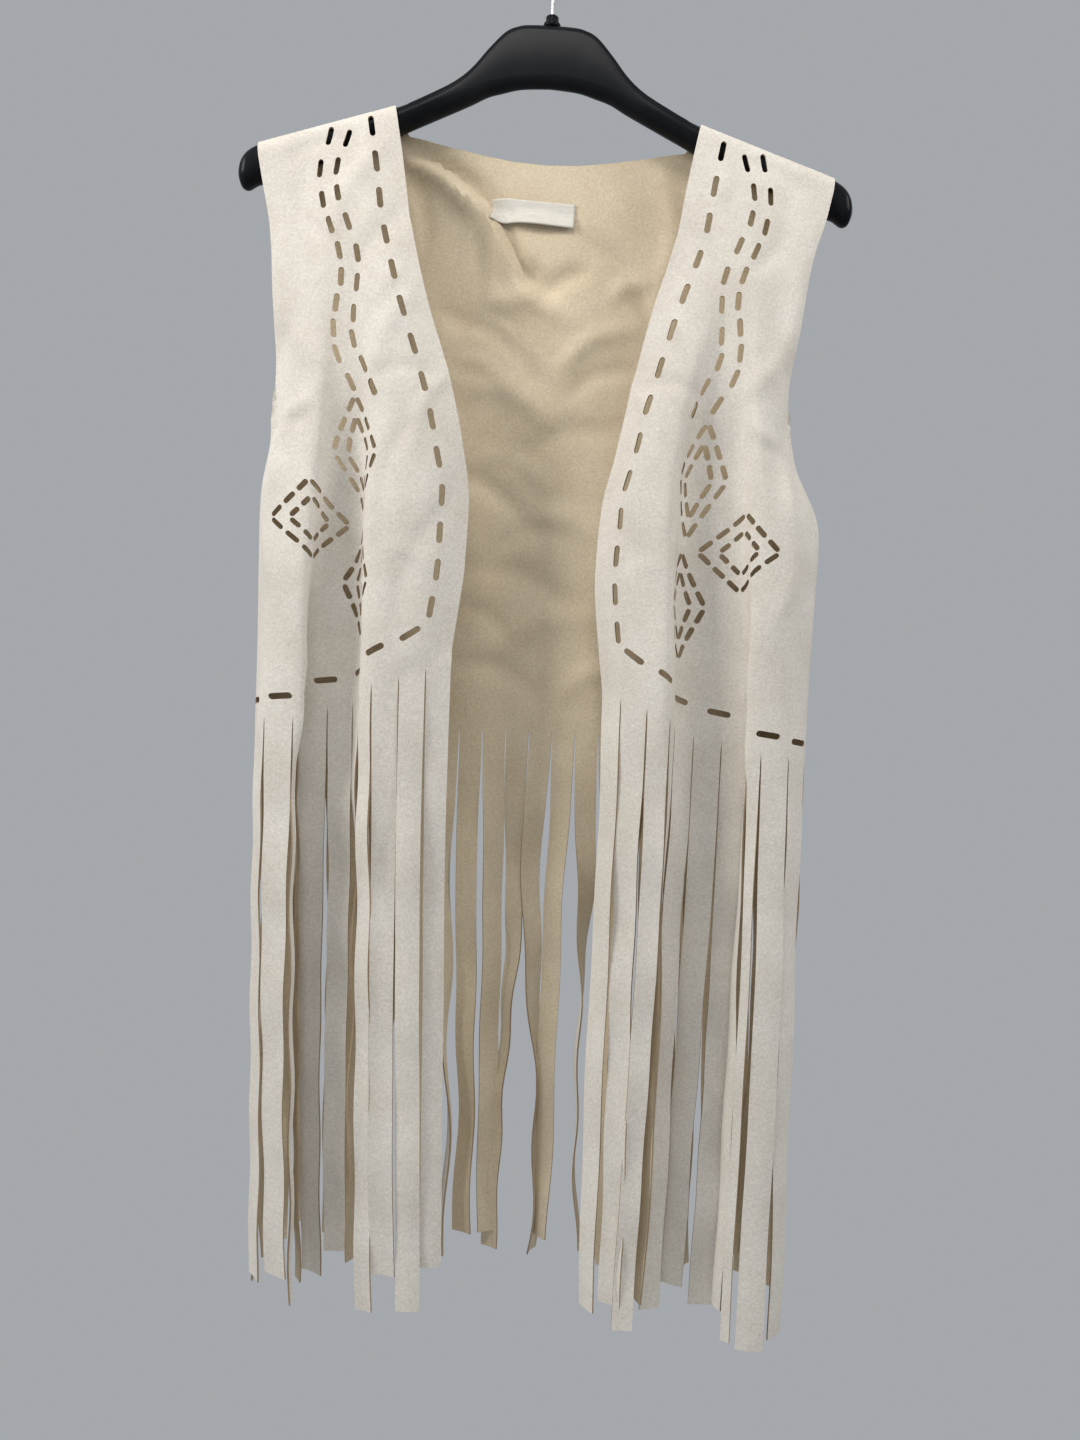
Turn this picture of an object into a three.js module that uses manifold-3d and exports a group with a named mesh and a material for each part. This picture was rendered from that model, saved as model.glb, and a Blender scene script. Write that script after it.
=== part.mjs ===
// Sleeveless fringe vest of soft suede cloth with punched slots, open at the front, on its hanger.
// Millimetres, +Z up, the viewer at -Y and the wearer's right side at -X.
// The origin is where a rail carries the hook, at the inside top of the crook.
import * as THREE from 'three';
import Module from 'manifold-3d';

const wasm = await Module();
wasm.setup();

// Driving sizes
const clothThick = 1.2;
const seamGap = 0.4;
const fringeGap = 0.75; // under the hems, which bend between the strips
const bodyTop = 68; // depth of the hanger's top below the origin
const sideLean = Math.tan(1.3 * Math.PI / 180); // the wearer's left side hangs lower
const rollRadius = 12; // middle of the cloth over the hanger's arm
const neckHalf = 111;
const neckDepth = 66;
const tipHalf = 207;
const tipDepth = 98;
const slotDepth = 4.6;
const borderInset = 20.2;
const borderPitch = 26.3;
const borderSlot = { length: 15.2, width: 4.1, pointed: true };
const smallSlot = { length: 13, width: 3.6, pointed: false };
const diamondSlot = 11.2; // its length at most
const stripsBack = 24;
const stripGap = 0.8;
const backingHeight = 6;
const backingThick = 1.7;
const hemBand = 6; // the cloth hangs straight down for this much above its hem
const wireThick = 3.2;
const crookRadius = 20;

// Sections of a front, from its front edge to its side seam. depth is below the hanger's top
// at the front edge, and side at the side seam. Each pair is half width and forward place.
// What hangs otherwise on the wearer's right or left is given under that side.
const frontSections = [
  { depth: 107, side: 132, edge: [102, -13], inner: [118, -14], step: [132, -14],
    valley: [143, -14], rise: [151, -14], under: [158, -13.5], ridge: [165, -13],
    outer: [183, -12.5], turn: [195, -12], seam: [201, -11.5] },
  { depth: 158, side: 164, edge: [93, -17], inner: [109, -19], step: [124, -20],
    valley: [137, -19], rise: [145, -18], under: [152, -17], ridge: [159, -17],
    outer: [177, -14], turn: [187, -12], seam: [192, -10],
    right: { turn: [190, -12], seam: [194.5, -10] } },
  { depth: 209, side: 209, edge: [80, -20], inner: [98, -24], step: [115, -25],
    valley: [130, -23], rise: [139, -21], under: [147, -20], ridge: [154, -20],
    outer: [170, -16], turn: [180, -13], seam: [184.5, -10],
    right: { outer: [173, -17], turn: [185, -13], seam: [190, -10.5] },
    left: { edge: [79, -15], inner: [95, -23] } },
  { depth: 258, side: 258, edge: [67, -22], inner: [88, -28], step: [108, -29],
    valley: [123, -23], rise: [134, -20], under: [144, -20], ridge: [152.5, -23],
    outer: [167, -19], turn: [176, -14], seam: [181, -9],
    right: { edge: [63.5, -22], outer: [171, -19], turn: [183, -14], seam: [188, -10.5] },
    left: { edge: [68, -12], inner: [84, -26], step: [105, -30], valley: [116, -20] } },
  { depth: 306, side: 306, edge: [53, -22], inner: [79, -31], step: [108, -31],
    valley: [121, -18], rise: [132, -16], under: [144, -20], ridge: [153, -27],
    outer: [168, -21], turn: [180, -14], seam: [186, -7],
    right: { edge: [51.5, -22], outer: [173, -22], turn: [184, -15], seam: [189, -10.5] },
    left: { edge: [58.5, -10], inner: [75, -27], step: [99, -32], valley: [109, -14],
      rise: [127, -14], under: [144, -18], ridge: [155, -28] } },
  { depth: 348, side: 348, edge: [45, -20], inner: [74, -33], step: [111, -33.5],
    valley: [121, -13], rise: [133, -12], under: [146, -19], ridge: [154.5, -30],
    outer: [177, -25], turn: [193, -10], seam: [193.5, 4],
    left: { edge: [49.5, -8], inner: [66, -26], step: [97, -33.5], valley: [107, -12],
      rise: [127, -12], under: [148, -18], ridge: [157.5, -30], outer: [182, -24],
      turn: [202, -8], seam: [207, 4] } },
  { depth: 403, side: 403, edge: [46.5, -22], inner: [74, -34], step: [111, -35],
    valley: [120.5, -10], rise: [133, -9], under: [151, -16], ridge: [155, -32],
    outer: [180, -28], turn: [193.5, -8], seam: [194.5, 5.8],
    left: { edge: [47, -10], inner: [64, -28], step: [96.5, -34.5], valley: [106, -10],
      rise: [127, -9], under: [152, -16], ridge: [157.5, -31], turn: [203, -8],
      seam: [205, 5.8] } },
  { depth: 452, side: 452, edge: [52, -25], inner: [77, -35], step: [110, -36],
    valley: [119.5, -9], rise: [134, -7], under: [160, -14], ridge: [154, -32],
    outer: [179, -28], turn: [192, -9], seam: [193.5, 5.8],
    left: { edge: [52, -12], inner: [69, -30], step: [98, -36], valley: [107.5, -9],
      rise: [128, -7], under: [160, -13], ridge: [156.5, -31], turn: [201, -10],
      seam: [203, 5.8] } },
];
const hemSection = { edge: [52, -27], inner: [79, -34], step: [110, -36],
  valley: [119.5, -12], rise: [135, -7], under: [165, -14], ridge: [153, -32],
  outer: [180, -29], turn: [190.5, -13], seam: [192.5, 5.8],
  left: { edge: [55, -14], inner: [71.5, -31], step: [99, -36], valley: [108.5, -12],
    rise: [129, -7], under: [165, -14], ridge: [155, -31], outer: [181, -29],
    turn: [199.4, -14], seam: [201.5, 5.8] } };
const sectionNames = ['edge', 'inner', 'step', 'valley', 'rise', 'under', 'ridge', 'outer',
  'turn', 'seam'];
const sectionSpans = [1, 1, 1, 1, 1, 1, 2, 1, 1];

// Depth of the hem along the cloth from the front edge
const hemDrop = [[0, 466], [50, 485], [100, 503], [150, 510], [216, 515]];

// Where the front edge lies on the flat cut, by depth
const edgeCut = [[62, 111], [100, 104], [150, 95], [200, 81], [250, 68], [300, 53.5], [340, 46],
  [400, 43.5], [450, 45], [520, 46]];

// Sections of the back: depth at the middle, depth at the side, half width on the wearer's
// right and left, and the place of its middle, of its blades and of its side edge
const backSections = [
  { depth: 107, side: 125, right: 202, left: 202, middle: 20, blade: 16, edge: 12.4 },
  { depth: 158, side: 164, right: 192, left: 192, middle: 22, blade: 20, edge: 14 },
  { depth: 209, side: 209, right: 184.5, left: 184.5, middle: 23, blade: 23, edge: 15 },
  { depth: 258, side: 258, right: 181, left: 181, middle: 24, blade: 24.5, edge: 15 },
  { depth: 306, side: 306, right: 183, left: 186, middle: 24, blade: 25, edge: 13 },
  { depth: 348, side: 348, right: 193.5, left: 207, middle: 24, blade: 25, edge: 6.2 },
  { depth: 403, side: 403, right: 194.5, left: 205, middle: 24, blade: 25, edge: 6.2 },
  { depth: 452, side: 452, right: 193.5, left: 203, middle: 24, blade: 25, edge: 6.2 },
  { depth: 507, side: 515, right: 192.5, left: 201.5, middle: 24, blade: 25, edge: 6.2 },
];
const backNeck = [[0, 90, 20], [25, 89, 19.5], [50, 86, 18], [75, 82.5, 15.5], [93, 79.5, 13.6],
  [107, 78, 12.4]];
const backColumns = [0, 25, 50, 75, 93, 107, 130, 153, 175, 188, 199, 206];
const backCorner = 0.85; // share of the half width where the back turns forward
const backWaves = [
  { at: -165, wide: 34, high: 5 },
  { at: -92, wide: 40, high: -7 },
  { at: -18, wide: 42, high: 6 },
  { at: 58, wide: 36, high: -6 },
  { at: 128, wide: 38, high: 6 },
];

// Two rows of small slots wander down the chest: place on the flat cut, then depth
const chainOuter = [[158, 95], [163, 119], [158.5, 142], [150.5, 161], [143, 179], [140.5, 197.5],
  [144, 216], [147, 234], [146, 252], [137, 271]];
const chainInner = [[144.5, 96], [150.5, 117], [147.5, 137.5], [138.5, 158], [130, 180],
  [129, 201], [132, 223], [133.5, 241], [126, 259], [117.5, 276]];
const diamonds = [
  { right: [134, 321], left: [133, 324], half: 21, high: 41.3, slots: 3 },
  { right: [134, 321], left: [133, 324], half: 10.5, high: 27, slots: 2 },
  { right: [132, 411], left: [130, 413], half: 20, high: 38.5, slots: 3 },
  { right: [132, 411], left: [130, 413], half: 10.5, high: 25, slots: 2 },
  { right: [181, 370.5], left: [179, 374], half: 32, high: 27.5, slots: 3 },
  { right: [181, 370.5], left: [179, 374], half: 17.5, high: 15.5, slots: 2 },
];

// Slots that follow the lower edge: distance from the front edge, depth and slope in degrees
const lowerBorder = [
  { out: 31, depth: 446.5, slope: 38 },
  { out: 54, depth: 459, slope: 28 },
  { out: 86, depth: 474, slope: 14 },
  { out: 115, depth: 481.5, slope: 9 },
  { out: 146.5, depth: 489, slope: 9 },
  { out: 178, depth: 495, slope: 7 },
  { out: 204, depth: 499, slope: 5 },
];

// Hanging strips of the fronts: length, sideways drift and forward drift of the tip, and
// twist in degrees, from the front edge outward
const stripsRight = [
  { long: 424, drift: -11, sway: 2, twist: 6 },
  { long: 433, drift: -13, sway: -3, twist: -8 },
  { long: 410, drift: -14, sway: 3, twist: 10 },
  { long: 420, drift: -14, sway: -2, twist: -6 },
  { long: 398, drift: -13, sway: 6, twist: 12 },
  { long: 391, drift: -12, sway: 2, twist: -10 },
  { long: 404, drift: -13, sway: 6, twist: 5 },
  { long: 402, drift: -15, sway: 5, twist: 0 },
  { long: 409, drift: -14, sway: -4, twist: -4 },
  { long: 388, drift: -11, sway: -2, twist: 5 },
  { long: 394, drift: -12, sway: -2, twist: -4 },
  { long: 400, drift: -13, sway: -2, twist: -2 },
];
const stripsLeft = [
  { long: 432, drift: 0, sway: -3, twist: -5 },
  { long: 418, drift: -3, sway: 2, twist: 8 },
  { long: 427, drift: -6, sway: -2, twist: -6 },
  { long: 406, drift: -7, sway: 2, twist: 8 },
  { long: 414, drift: -8, sway: 5, twist: -10 },
  { long: 392, drift: -9, sway: 4, twist: 7 },
  { long: 402, drift: -9, sway: 7, twist: -5 },
  { long: 396, drift: -7, sway: 5, twist: 0 },
  { long: 411, drift: -4, sway: -4, twist: 5 },
  { long: 424, drift: -1, sway: -3, twist: -5 },
  { long: 418, drift: -1, sway: -2, twist: 4 },
  { long: 420, drift: -3, sway: -2, twist: -2 },
];

// Hanger: half width, depth of its top, height and half thickness
const hangerSections = [
  { out: 0, top: 0, high: 44, thick: 7 },
  { out: 13, top: 0.3, high: 44.5, thick: 7 },
  { out: 23, top: 1.6, high: 44.5, thick: 7 },
  { out: 33, top: 7, high: 42, thick: 7.3 },
  { out: 44, top: 19, high: 33.5, thick: 7.8 },
  { out: 56, top: 34, high: 25, thick: 8.3 },
  { out: 68, top: 44.5, high: 20.5, thick: 8.8 },
  { out: 84, top: 54, high: 18.8, thick: 9.6 },
  { out: 98, top: 61.6, high: 18, thick: 9.9 },
];
const hangerTips = [
  { out: 209, drop: 0.3, high: 27, thick: 10.6 },
  { out: 215, drop: 2.5, high: 26.5, thick: 10.6 },
  { out: 219, drop: 6.5, high: 20, thick: 8.5 },
  { out: 221, drop: 11.5, high: 10, thick: 5 },
];

// Small tools
function between(table, at) {
  const last = table.length - 1;
  if (at <= table[0][0]) {
    return table[0].slice(1);
  }
  for (let i = 0; i < last; i += 1) {
    if (at <= table[i + 1][0]) {
      const t = (at - table[i][0]) / (table[i + 1][0] - table[i][0]);
      return table[i].slice(1).map((v, k) => v + (table[i + 1][k + 1] - v) * t);
    }
  }
  return table[last].slice(1);
}

function smoothStep(t) {
  const c = Math.min(1, Math.max(0, t));
  return c * c * (3 - 2 * c);
}

function place(out, forward, depth) {
  return new THREE.Vector3(out, forward, -bodyTop - depth);
}

function shoulderDepth(out) {
  return neckDepth + (out - neckHalf) * (tipDepth - neckDepth) / (tipHalf - neckHalf);
}

function manifoldOf(points, faces) {
  return new wasm.Manifold(new wasm.Mesh({
    numProp: 3,
    vertProperties: Float32Array.from(points.flatMap((p) => [p.x, p.y, p.z])),
    triVerts: Uint32Array.from(faces.flat()),
  }));
}

function geometryOf(solid) {
  const mesh = solid.getMesh();
  const geometry = new THREE.BufferGeometry();
  const position = new Float32Array(mesh.numVert * 3);
  for (let i = 0; i < mesh.numVert; i += 1) {
    for (let k = 0; k < 3; k += 1) {
      position[i * 3 + k] = mesh.vertProperties[i * mesh.numProp + k];
    }
  }
  geometry.setAttribute('position', new THREE.BufferAttribute(position, 3));
  geometry.setIndex(Array.from(mesh.triVerts));
  return geometry;
}

function solidOf(geometry) {
  const position = geometry.getAttribute('position');
  const keys = new Map();
  const points = [];
  const index = [];
  for (let i = 0; i < position.count; i += 1) {
    const p = new THREE.Vector3().fromBufferAttribute(position, i);
    const key = [p.x, p.y, p.z].map((v) => Math.round(v * 1e4)).join();
    if (!keys.has(key)) {
      keys.set(key, points.length);
      points.push(p);
    }
    index.push(keys.get(key));
  }
  const list = geometry.index ? Array.from(geometry.index.array) : index.map((_, i) => i);
  const faces = [];
  for (let i = 0; i < list.length; i += 3) {
    const face = [index[list[i]], index[list[i + 1]], index[list[i + 2]]];
    if (new Set(face).size === 3) {
      faces.push(face);
    }
  }
  return manifoldOf(points, faces);
}

// A thin closed wall about a grid of points. has tells which cells are cloth.
function wall(grid, thick, has = () => true) {
  const rows = grid.length;
  const columns = grid[0].length;
  const normals = new Map();
  const cells = [];
  for (let i = 0; i < rows - 1; i += 1) {
    for (let j = 0; j < columns - 1; j += 1) {
      if (!has(i, j)) {
        continue;
      }
      cells.push([i, j]);
      const across = grid[i][j + 1].clone().sub(grid[i + 1][j]);
      const down = grid[i + 1][j + 1].clone().sub(grid[i][j]);
      const normal = new THREE.Vector3().crossVectors(across, down).normalize();
      for (const [a, b] of [[i, j], [i, j + 1], [i + 1, j], [i + 1, j + 1]]) {
        const key = a * columns + b;
        if (!normals.has(key)) {
          normals.set(key, []);
        }
        normals.get(key).push(normal);
      }
    }
  }
  const points = [];
  const spot = new Map();
  for (const [key, list] of normals) {
    const mean = list.reduce((s, n) => s.add(n), new THREE.Vector3()).normalize();
    const lean = list.reduce((s, n) => s + n.dot(mean), 0) / list.length;
    const out = mean.multiplyScalar(thick / 2 / Math.max(lean, 0.6));
    const p = grid[Math.floor(key / columns)][key % columns];
    spot.set(key, points.length);
    points.push(p.clone().add(out), p.clone().sub(out));
  }
  const faces = [];
  const quad = (a, b, c, d) => faces.push([a, b, c], [a, c, d]);
  const id = (i, j) => spot.get(i * columns + j);
  const cloth = (i, j) => i >= 0 && j >= 0 && i < rows - 1 && j < columns - 1 && has(i, j);
  for (const [i, j] of cells) {
    const [a, b, c, d] = [id(i, j), id(i + 1, j), id(i + 1, j + 1), id(i, j + 1)];
    quad(a, b, c, d);
    quad(a + 1, d + 1, c + 1, b + 1);
    if (!cloth(i - 1, j)) {
      quad(d, d + 1, a + 1, a);
    }
    if (!cloth(i + 1, j)) {
      quad(b, b + 1, c + 1, c);
    }
    if (!cloth(i, j - 1)) {
      quad(a, a + 1, b + 1, b);
    }
    if (!cloth(i, j + 1)) {
      quad(c, c + 1, d + 1, d);
    }
  }
  const solid = manifoldOf(points, faces);
  if (solid.volume() > 0) {
    return solid;
  }
  return manifoldOf(points, faces.map((f) => [f[0], f[2], f[1]]));
}

// A section through named points, with its wider spans rounded
function sectionLine(section, side) {
  const here = { ...section, ...section[side] };
  const named = sectionNames.map((n) => new THREE.Vector2(...here[n]));
  const curve = new THREE.SplineCurve(named);
  const line = [];
  sectionSpans.forEach((count, i) => {
    for (let k = 0; k < count; k += 1) {
      line.push(curve.getPoint((i + k / count) / sectionSpans.length));
    }
  });
  line.push(named[named.length - 1]);
  return line;
}

function lengths(line) {
  const out = [0];
  for (let i = 1; i < line.length; i += 1) {
    out.push(out[i - 1] + line[i].distanceTo(line[i - 1]));
  }
  return out;
}

// One front as rows of points, laid out toward +X for either side
function frontRows(side) {
  const first = sectionLine(frontSections[0], side);
  const start = first[0].x;
  const share = first.map((p) => (p.x - start) / (first[first.length - 1].x - start));
  const rows = [];
  const seamAngle = seamGap / 2 / rollRadius;
  for (const angle of [seamAngle, 0.52, 1.04, 1.5]) {
    rows.push(share.map((s) => {
      const out = neckHalf - 2.2 * angle + (tipHalf - neckHalf + 1.4 * angle) * s;
      const drop = rollRadius * (1 - Math.cos(angle));
      return place(out, -rollRadius * Math.sin(angle), shoulderDepth(out) + drop);
    }));
  }
  for (const section of frontSections) {
    const line = sectionLine(section, side);
    const far = lengths(line);
    const whole = far[far.length - 1];
    rows.push(line.map((p, i) => {
      const depth = section.depth + (section.side - section.depth) * far[i] / whole;
      return place(p.x, p.y, depth);
    }));
  }
  const hem = sectionLine(hemSection, side);
  const far = lengths(hem);
  for (const above of [hemBand, 0]) {
    rows.push(hem.map((p, i) => place(p.x, p.y, between(hemDrop, far[i])[0] - above)));
  }
  return rows;
}

// The point of the cloth at a place of the flat cut
function onRows(rows, cuts, at, depth) {
  const z = -bodyTop - depth;
  const along = (row, cut) => {
    let i = 0;
    while (i < row.length - 2 && cut[i + 1] < at) {
      i += 1;
    }
    const t = (at - cut[i]) / (cut[i + 1] - cut[i]);
    return row[i].clone().lerp(row[i + 1], t);
  };
  let upper = along(rows[0], cuts[0]);
  for (let r = 1; r < rows.length; r += 1) {
    const lower = along(rows[r], cuts[r]);
    if (lower.z <= z || r === rows.length - 1) {
      return upper.lerp(lower, (upper.z - z) / (upper.z - lower.z));
    }
    upper = lower;
  }
  return upper;
}

function cutsOf(rows) {
  return rows.map((row) => {
    const start = between(edgeCut, -bodyTop - row[0].z)[0];
    return lengths(row).map((d) => start + d);
  });
}

function normalAt(surface, at, depth) {
  const across = surface(at + 1.5, depth).sub(surface(at - 1.5, depth));
  const down = surface(at, depth + 1.5).sub(surface(at, depth - 1.5));
  return new THREE.Vector3().crossVectors(across, down).normalize();
}

// A punch for one slot, bent with the cloth. The longer slots have pointed ends.
function slotPunch(surface, slot) {
  const { at, depth, slope, length, width, pointed } = slot;
  const c = Math.cos(slope);
  const s = Math.sin(slope);
  const h = length / 2;
  const w = width / 2;
  const ends = [normalAt(surface, at - h * c, depth - h * s),
    normalAt(surface, at + h * c, depth + h * s)];
  const stops = [-h + 0.6 * w, h - 0.6 * w];
  if (ends[0].dot(ends[1]) < 0.94) {
    stops.splice(1, 0, 0);
  }
  const shape = [];
  if (pointed) {
    shape.push([-h, 0], [h, 0]);
  } else {
    stops[0] = -h;
    stops[stops.length - 1] = h;
  }
  stops.forEach((a) => shape.push([a, -w], [a, w]));
  const first = pointed ? 2 : 0;
  const n = shape.length;
  const points = [];
  for (const side of [1, -1]) {
    const out = normalAt(surface, at, depth).multiplyScalar(side * slotDepth);
    for (const [a, b] of shape) {
      points.push(surface(at + a * c - b * s, depth + a * s + b * c).add(out));
    }
  }
  const faces = [];
  const face = (a, b, d) => faces.push([a, b, d], [n + a, n + d, n + b]);
  const ring = [];
  for (let i = first; i < n; i += 2) {
    ring.push(i);
  }
  for (let i = first; i < n - 2; i += 2) {
    face(i, i + 2, i + 3);
    face(i, i + 3, i + 1);
  }
  if (pointed) {
    face(0, 2, 3);
    face(n - 2, 1, n - 1);
    ring.unshift(0);
    ring.push(1);
  }
  for (let i = n - 1; i >= first; i -= 2) {
    ring.push(i);
  }
  ring.forEach((a, i) => {
    const b = ring[(i + 1) % ring.length];
    faces.push([a, n + a, b], [b, n + a, n + b]);
  });
  const solid = manifoldOf(points, faces);
  if (solid.volume() > 0) {
    return solid;
  }
  return manifoldOf(points, faces.map((f) => [f[0], f[2], f[1]]));
}

// Where the slots of one front lie on its flat cut
function slotsOfFront(side) {
  const slots = [];
  const lower = side === 'left' ? 3 : 0;
  for (let i = 0; i < 14; i += 1) {
    const depth = 84.6 + borderPitch * i + lower;
    const ahead = between(edgeCut, depth + 8)[0] - between(edgeCut, depth - 8)[0];
    slots.push({ at: between(edgeCut, depth)[0] + borderInset, depth,
      slope: Math.atan2(16, ahead), ...borderSlot });
  }
  for (const slot of lowerBorder) {
    slots.push({ at: between(edgeCut, slot.depth)[0] + slot.out, depth: slot.depth + lower,
      slope: slot.slope * Math.PI / 180, ...borderSlot });
  }
  for (const chain of [chainOuter, chainInner]) {
    chain.forEach(([at, depth], i) => {
      const before = chain[Math.max(0, i - 1)];
      const after = chain[Math.min(chain.length - 1, i + 1)];
      slots.push({ at, depth, slope: Math.atan2(after[1] - before[1], after[0] - before[0]),
        ...smallSlot });
    });
  }
  for (const shape of diamonds) {
    const [middle, height] = shape[side];
    const long = Math.min(diamondSlot, Math.hypot(shape.half, shape.high) / shape.slots - 3);
    for (const [across, down] of [[1, 1], [-1, 1], [1, -1], [-1, -1]]) {
      for (let i = 0; i < shape.slots; i += 1) {
        const t = (i + 0.5) / shape.slots;
        slots.push({ at: middle + across * shape.half * (1 - t),
          depth: height + down * shape.high * t,
          slope: Math.atan2(down * shape.high, -across * shape.half),
          ...smallSlot, length: long });
      }
    }
  }
  return slots;
}

// Back cloth: rows from the shoulder seam to the hem, the neckline in the middle
function backRows() {
  const outs = [...backColumns.slice(1).reverse().map((v) => -v), ...backColumns];
  const rows = [];
  const seamAngle = seamGap / 2 / rollRadius;
  for (const angle of [seamAngle, 0.42, 0.84]) {
    rows.push(outs.map((out) => {
      const s = Math.max(0, (Math.abs(out) - 107) / 99);
      const far = neckHalf - 2.2 * angle + (tipHalf - neckHalf + 1.4 * angle) * s;
      const drop = rollRadius * (1 - Math.cos(angle));
      return place(Math.sign(out) * far, rollRadius * Math.sin(angle),
        shoulderDepth(far) + drop);
    }));
  }
  rows.push(outs.map((out) => {
    const far = Math.abs(out);
    if (far <= 107) {
      const [depth, forward] = between(backNeck, far);
      return place(out, forward, depth);
    }
    return place(out, rollRadius + 0.2, shoulderDepth(far) + rollRadius);
  }));
  for (const section of backSections) {
    rows.push(outs.map((out) => {
      const share = Math.abs(out) / 206;
      const neck = between(backNeck, Math.abs(out))[0];
      const lift = section === backSections[0] ? Math.max(0, neck + 9 - section.depth) : 0;
      const depth = section.depth + (section.side - section.depth) * share ** 2 + lift;
      const flat = section.middle + (section.blade - section.middle) * smoothStep(share * 1.4);
      const corner = Math.max(0, (share - backCorner) / (1 - backCorner)) * Math.PI / 2;
      const wide = share < backCorner ? share : backCorner + (1 - backCorner) * Math.sin(corner);
      const fade = smoothStep((section.depth - 150) / 330) * smoothStep((1 - share) * 6);
      const wave = backWaves.reduce((sum, fold) => sum
        + fold.high * Math.exp(-(((out - fold.at) / fold.wide) ** 2)), 0);
      const half = out < 0 ? section.right : section.left;
      return place(Math.sign(out) * half * wide,
        section.edge + (flat - section.edge) * Math.cos(corner) + wave * fade, depth);
    }));
  }
  const hem = rows.pop();
  for (const above of [hemBand, 0]) {
    rows.push(hem.map((p) => new THREE.Vector3(p.x, p.y, p.z + above)));
  }
  return rows;
}

// One hanging strip: a flat band that bends and turns on its way down
function stripBand(left, right, strip, side) {
  const steps = 5;
  const across = right.clone().sub(left);
  const half = across.length() / 2 - stripGap / 2;
  const flat = Math.atan2(across.y, across.x);
  const top = left.clone().add(right).multiplyScalar(0.5);
  top.z -= fringeGap + backingHeight * 0.45;
  const points = [];
  for (let i = 0; i <= steps; i += 1) {
    const t = i / steps;
    const bend = Math.sin(t * Math.PI * 1.6) * strip.sway * 0.6;
    const turn = flat + side * strip.twist * Math.PI / 180 * t * t;
    const centre = top.clone();
    centre.x += side * strip.drift * t ** 1.3;
    centre.y += strip.sway * t * t + bend;
    centre.z -= (strip.long - backingHeight * 0.45) * t;
    const along = new THREE.Vector3(Math.cos(turn), Math.sin(turn), 0).multiplyScalar(half);
    const thick = new THREE.Vector3(-Math.sin(turn), Math.cos(turn), 0)
      .multiplyScalar(clothThick / 2);
    const slope = (right.z - left.z) / 2 * (1 - smoothStep(t * 3));
    for (const [a, b] of [[-1, -1], [1, -1], [1, 1], [-1, 1]]) {
      const point = centre.clone().addScaledVector(along, a).addScaledVector(thick, b);
      point.z += slope * a;
      points.push(point);
    }
  }
  const faces = [[0, 1, 2], [0, 2, 3]];
  for (let i = 0; i < steps; i += 1) {
    for (let k = 0; k < 4; k += 1) {
      const a = i * 4 + k;
      const b = i * 4 + (k + 1) % 4;
      faces.push([a, a + 4, b], [b, a + 4, b + 4]);
    }
  }
  const e = steps * 4;
  faces.push([e, e + 2, e + 1], [e, e + 3, e + 2]);
  const solid = manifoldOf(points, faces);
  if (solid.volume() > 0) {
    return solid;
  }
  return manifoldOf(points, faces.map((f) => [f[0], f[2], f[1]]));
}

// A row of strips on a narrow backing that follows the hem just below it
function fringe(line, strips, side) {
  const down = (p, by) => new THREE.Vector3(p.x, p.y, p.z - by);
  const far = lengths(line);
  const whole = far[far.length - 1];
  const at = (d) => {
    let i = 0;
    while (i < line.length - 2 && far[i + 1] < d) {
      i += 1;
    }
    return line[i].clone().lerp(line[i + 1], (d - far[i]) / (far[i + 1] - far[i]));
  };
  const stops = [at(stripGap)];
  strips.forEach((strip, i) => stops.push(at(stripGap
    + (whole - stripGap * 2) * (i + 1) / strips.length)));
  let solid = wall([stops.map((p) => down(p, fringeGap)),
    stops.map((p) => down(p, fringeGap + backingHeight))], backingThick);
  strips.forEach((strip, i) => {
    solid = solid.add(stripBand(stops[i], stops[i + 1], strip, side));
  });
  return solid;
}

// Hanger body: rounded sections from tip to tip, with a collar for the hook
function hangerBody() {
  const stations = hangerSections.map((s) => ({ ...s }));
  for (const out of [111, 135, 159, 183, 203]) {
    const top = shoulderDepth(out) + clothThick / 2 + 0.6;
    const share = (out - 111) / 92;
    stations.push({ out, top, high: 19 + 8 * share, thick: rollRadius - 1.6 });
  }
  for (const tip of hangerTips) {
    stations.push({ out: tip.out, top: shoulderDepth(tip.out) + 1 + tip.drop,
      high: tip.high, thick: tip.thick });
  }
  const all = [...stations.slice(1).reverse().map((s) => ({ ...s, out: -s.out })), ...stations];
  const around = 10;
  const points = [];
  for (const s of all) {
    for (let k = 0; k < around; k += 1) {
      const a = k / around * Math.PI * 2 + Math.PI / around;
      const round = Math.min(s.thick, s.high / 2);
      const rise = Math.cos(a) > 0 ? s.top + round : s.top + s.high - round;
      points.push(place(s.out, s.thick * Math.sin(a), rise - round * Math.cos(a)));
    }
  }
  const faces = [];
  for (let i = 0; i < all.length - 1; i += 1) {
    for (let k = 0; k < around; k += 1) {
      const a = i * around + k;
      const b = i * around + (k + 1) % around;
      faces.push([a, b, a + around], [b, b + around, a + around]);
    }
  }
  const last = (all.length - 1) * around;
  for (let k = 1; k < around - 1; k += 1) {
    faces.push([0, k + 1, k], [last, last + k, last + k + 1]);
  }
  let body = manifoldOf(points, faces);
  if (body.volume() < 0) {
    body = manifoldOf(points, faces.map((f) => [f[0], f[2], f[1]]));
  }
  const bore = wireThick / 2 + 0.35;
  const profile = [[bore, -1.5], [6, -1.5], [6.2, 1.5], [4.6, 3.5], [4.6, 7], [bore, 7],
    [bore, -1.5]].map(([r, h]) => new THREE.Vector2(r, h));
  const ring = new THREE.LatheGeometry(profile, 14);
  ring.rotateX(Math.PI / 2);
  ring.translate(0, 0, -bodyTop);
  return body.add(solidOf(ring));
}

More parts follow.
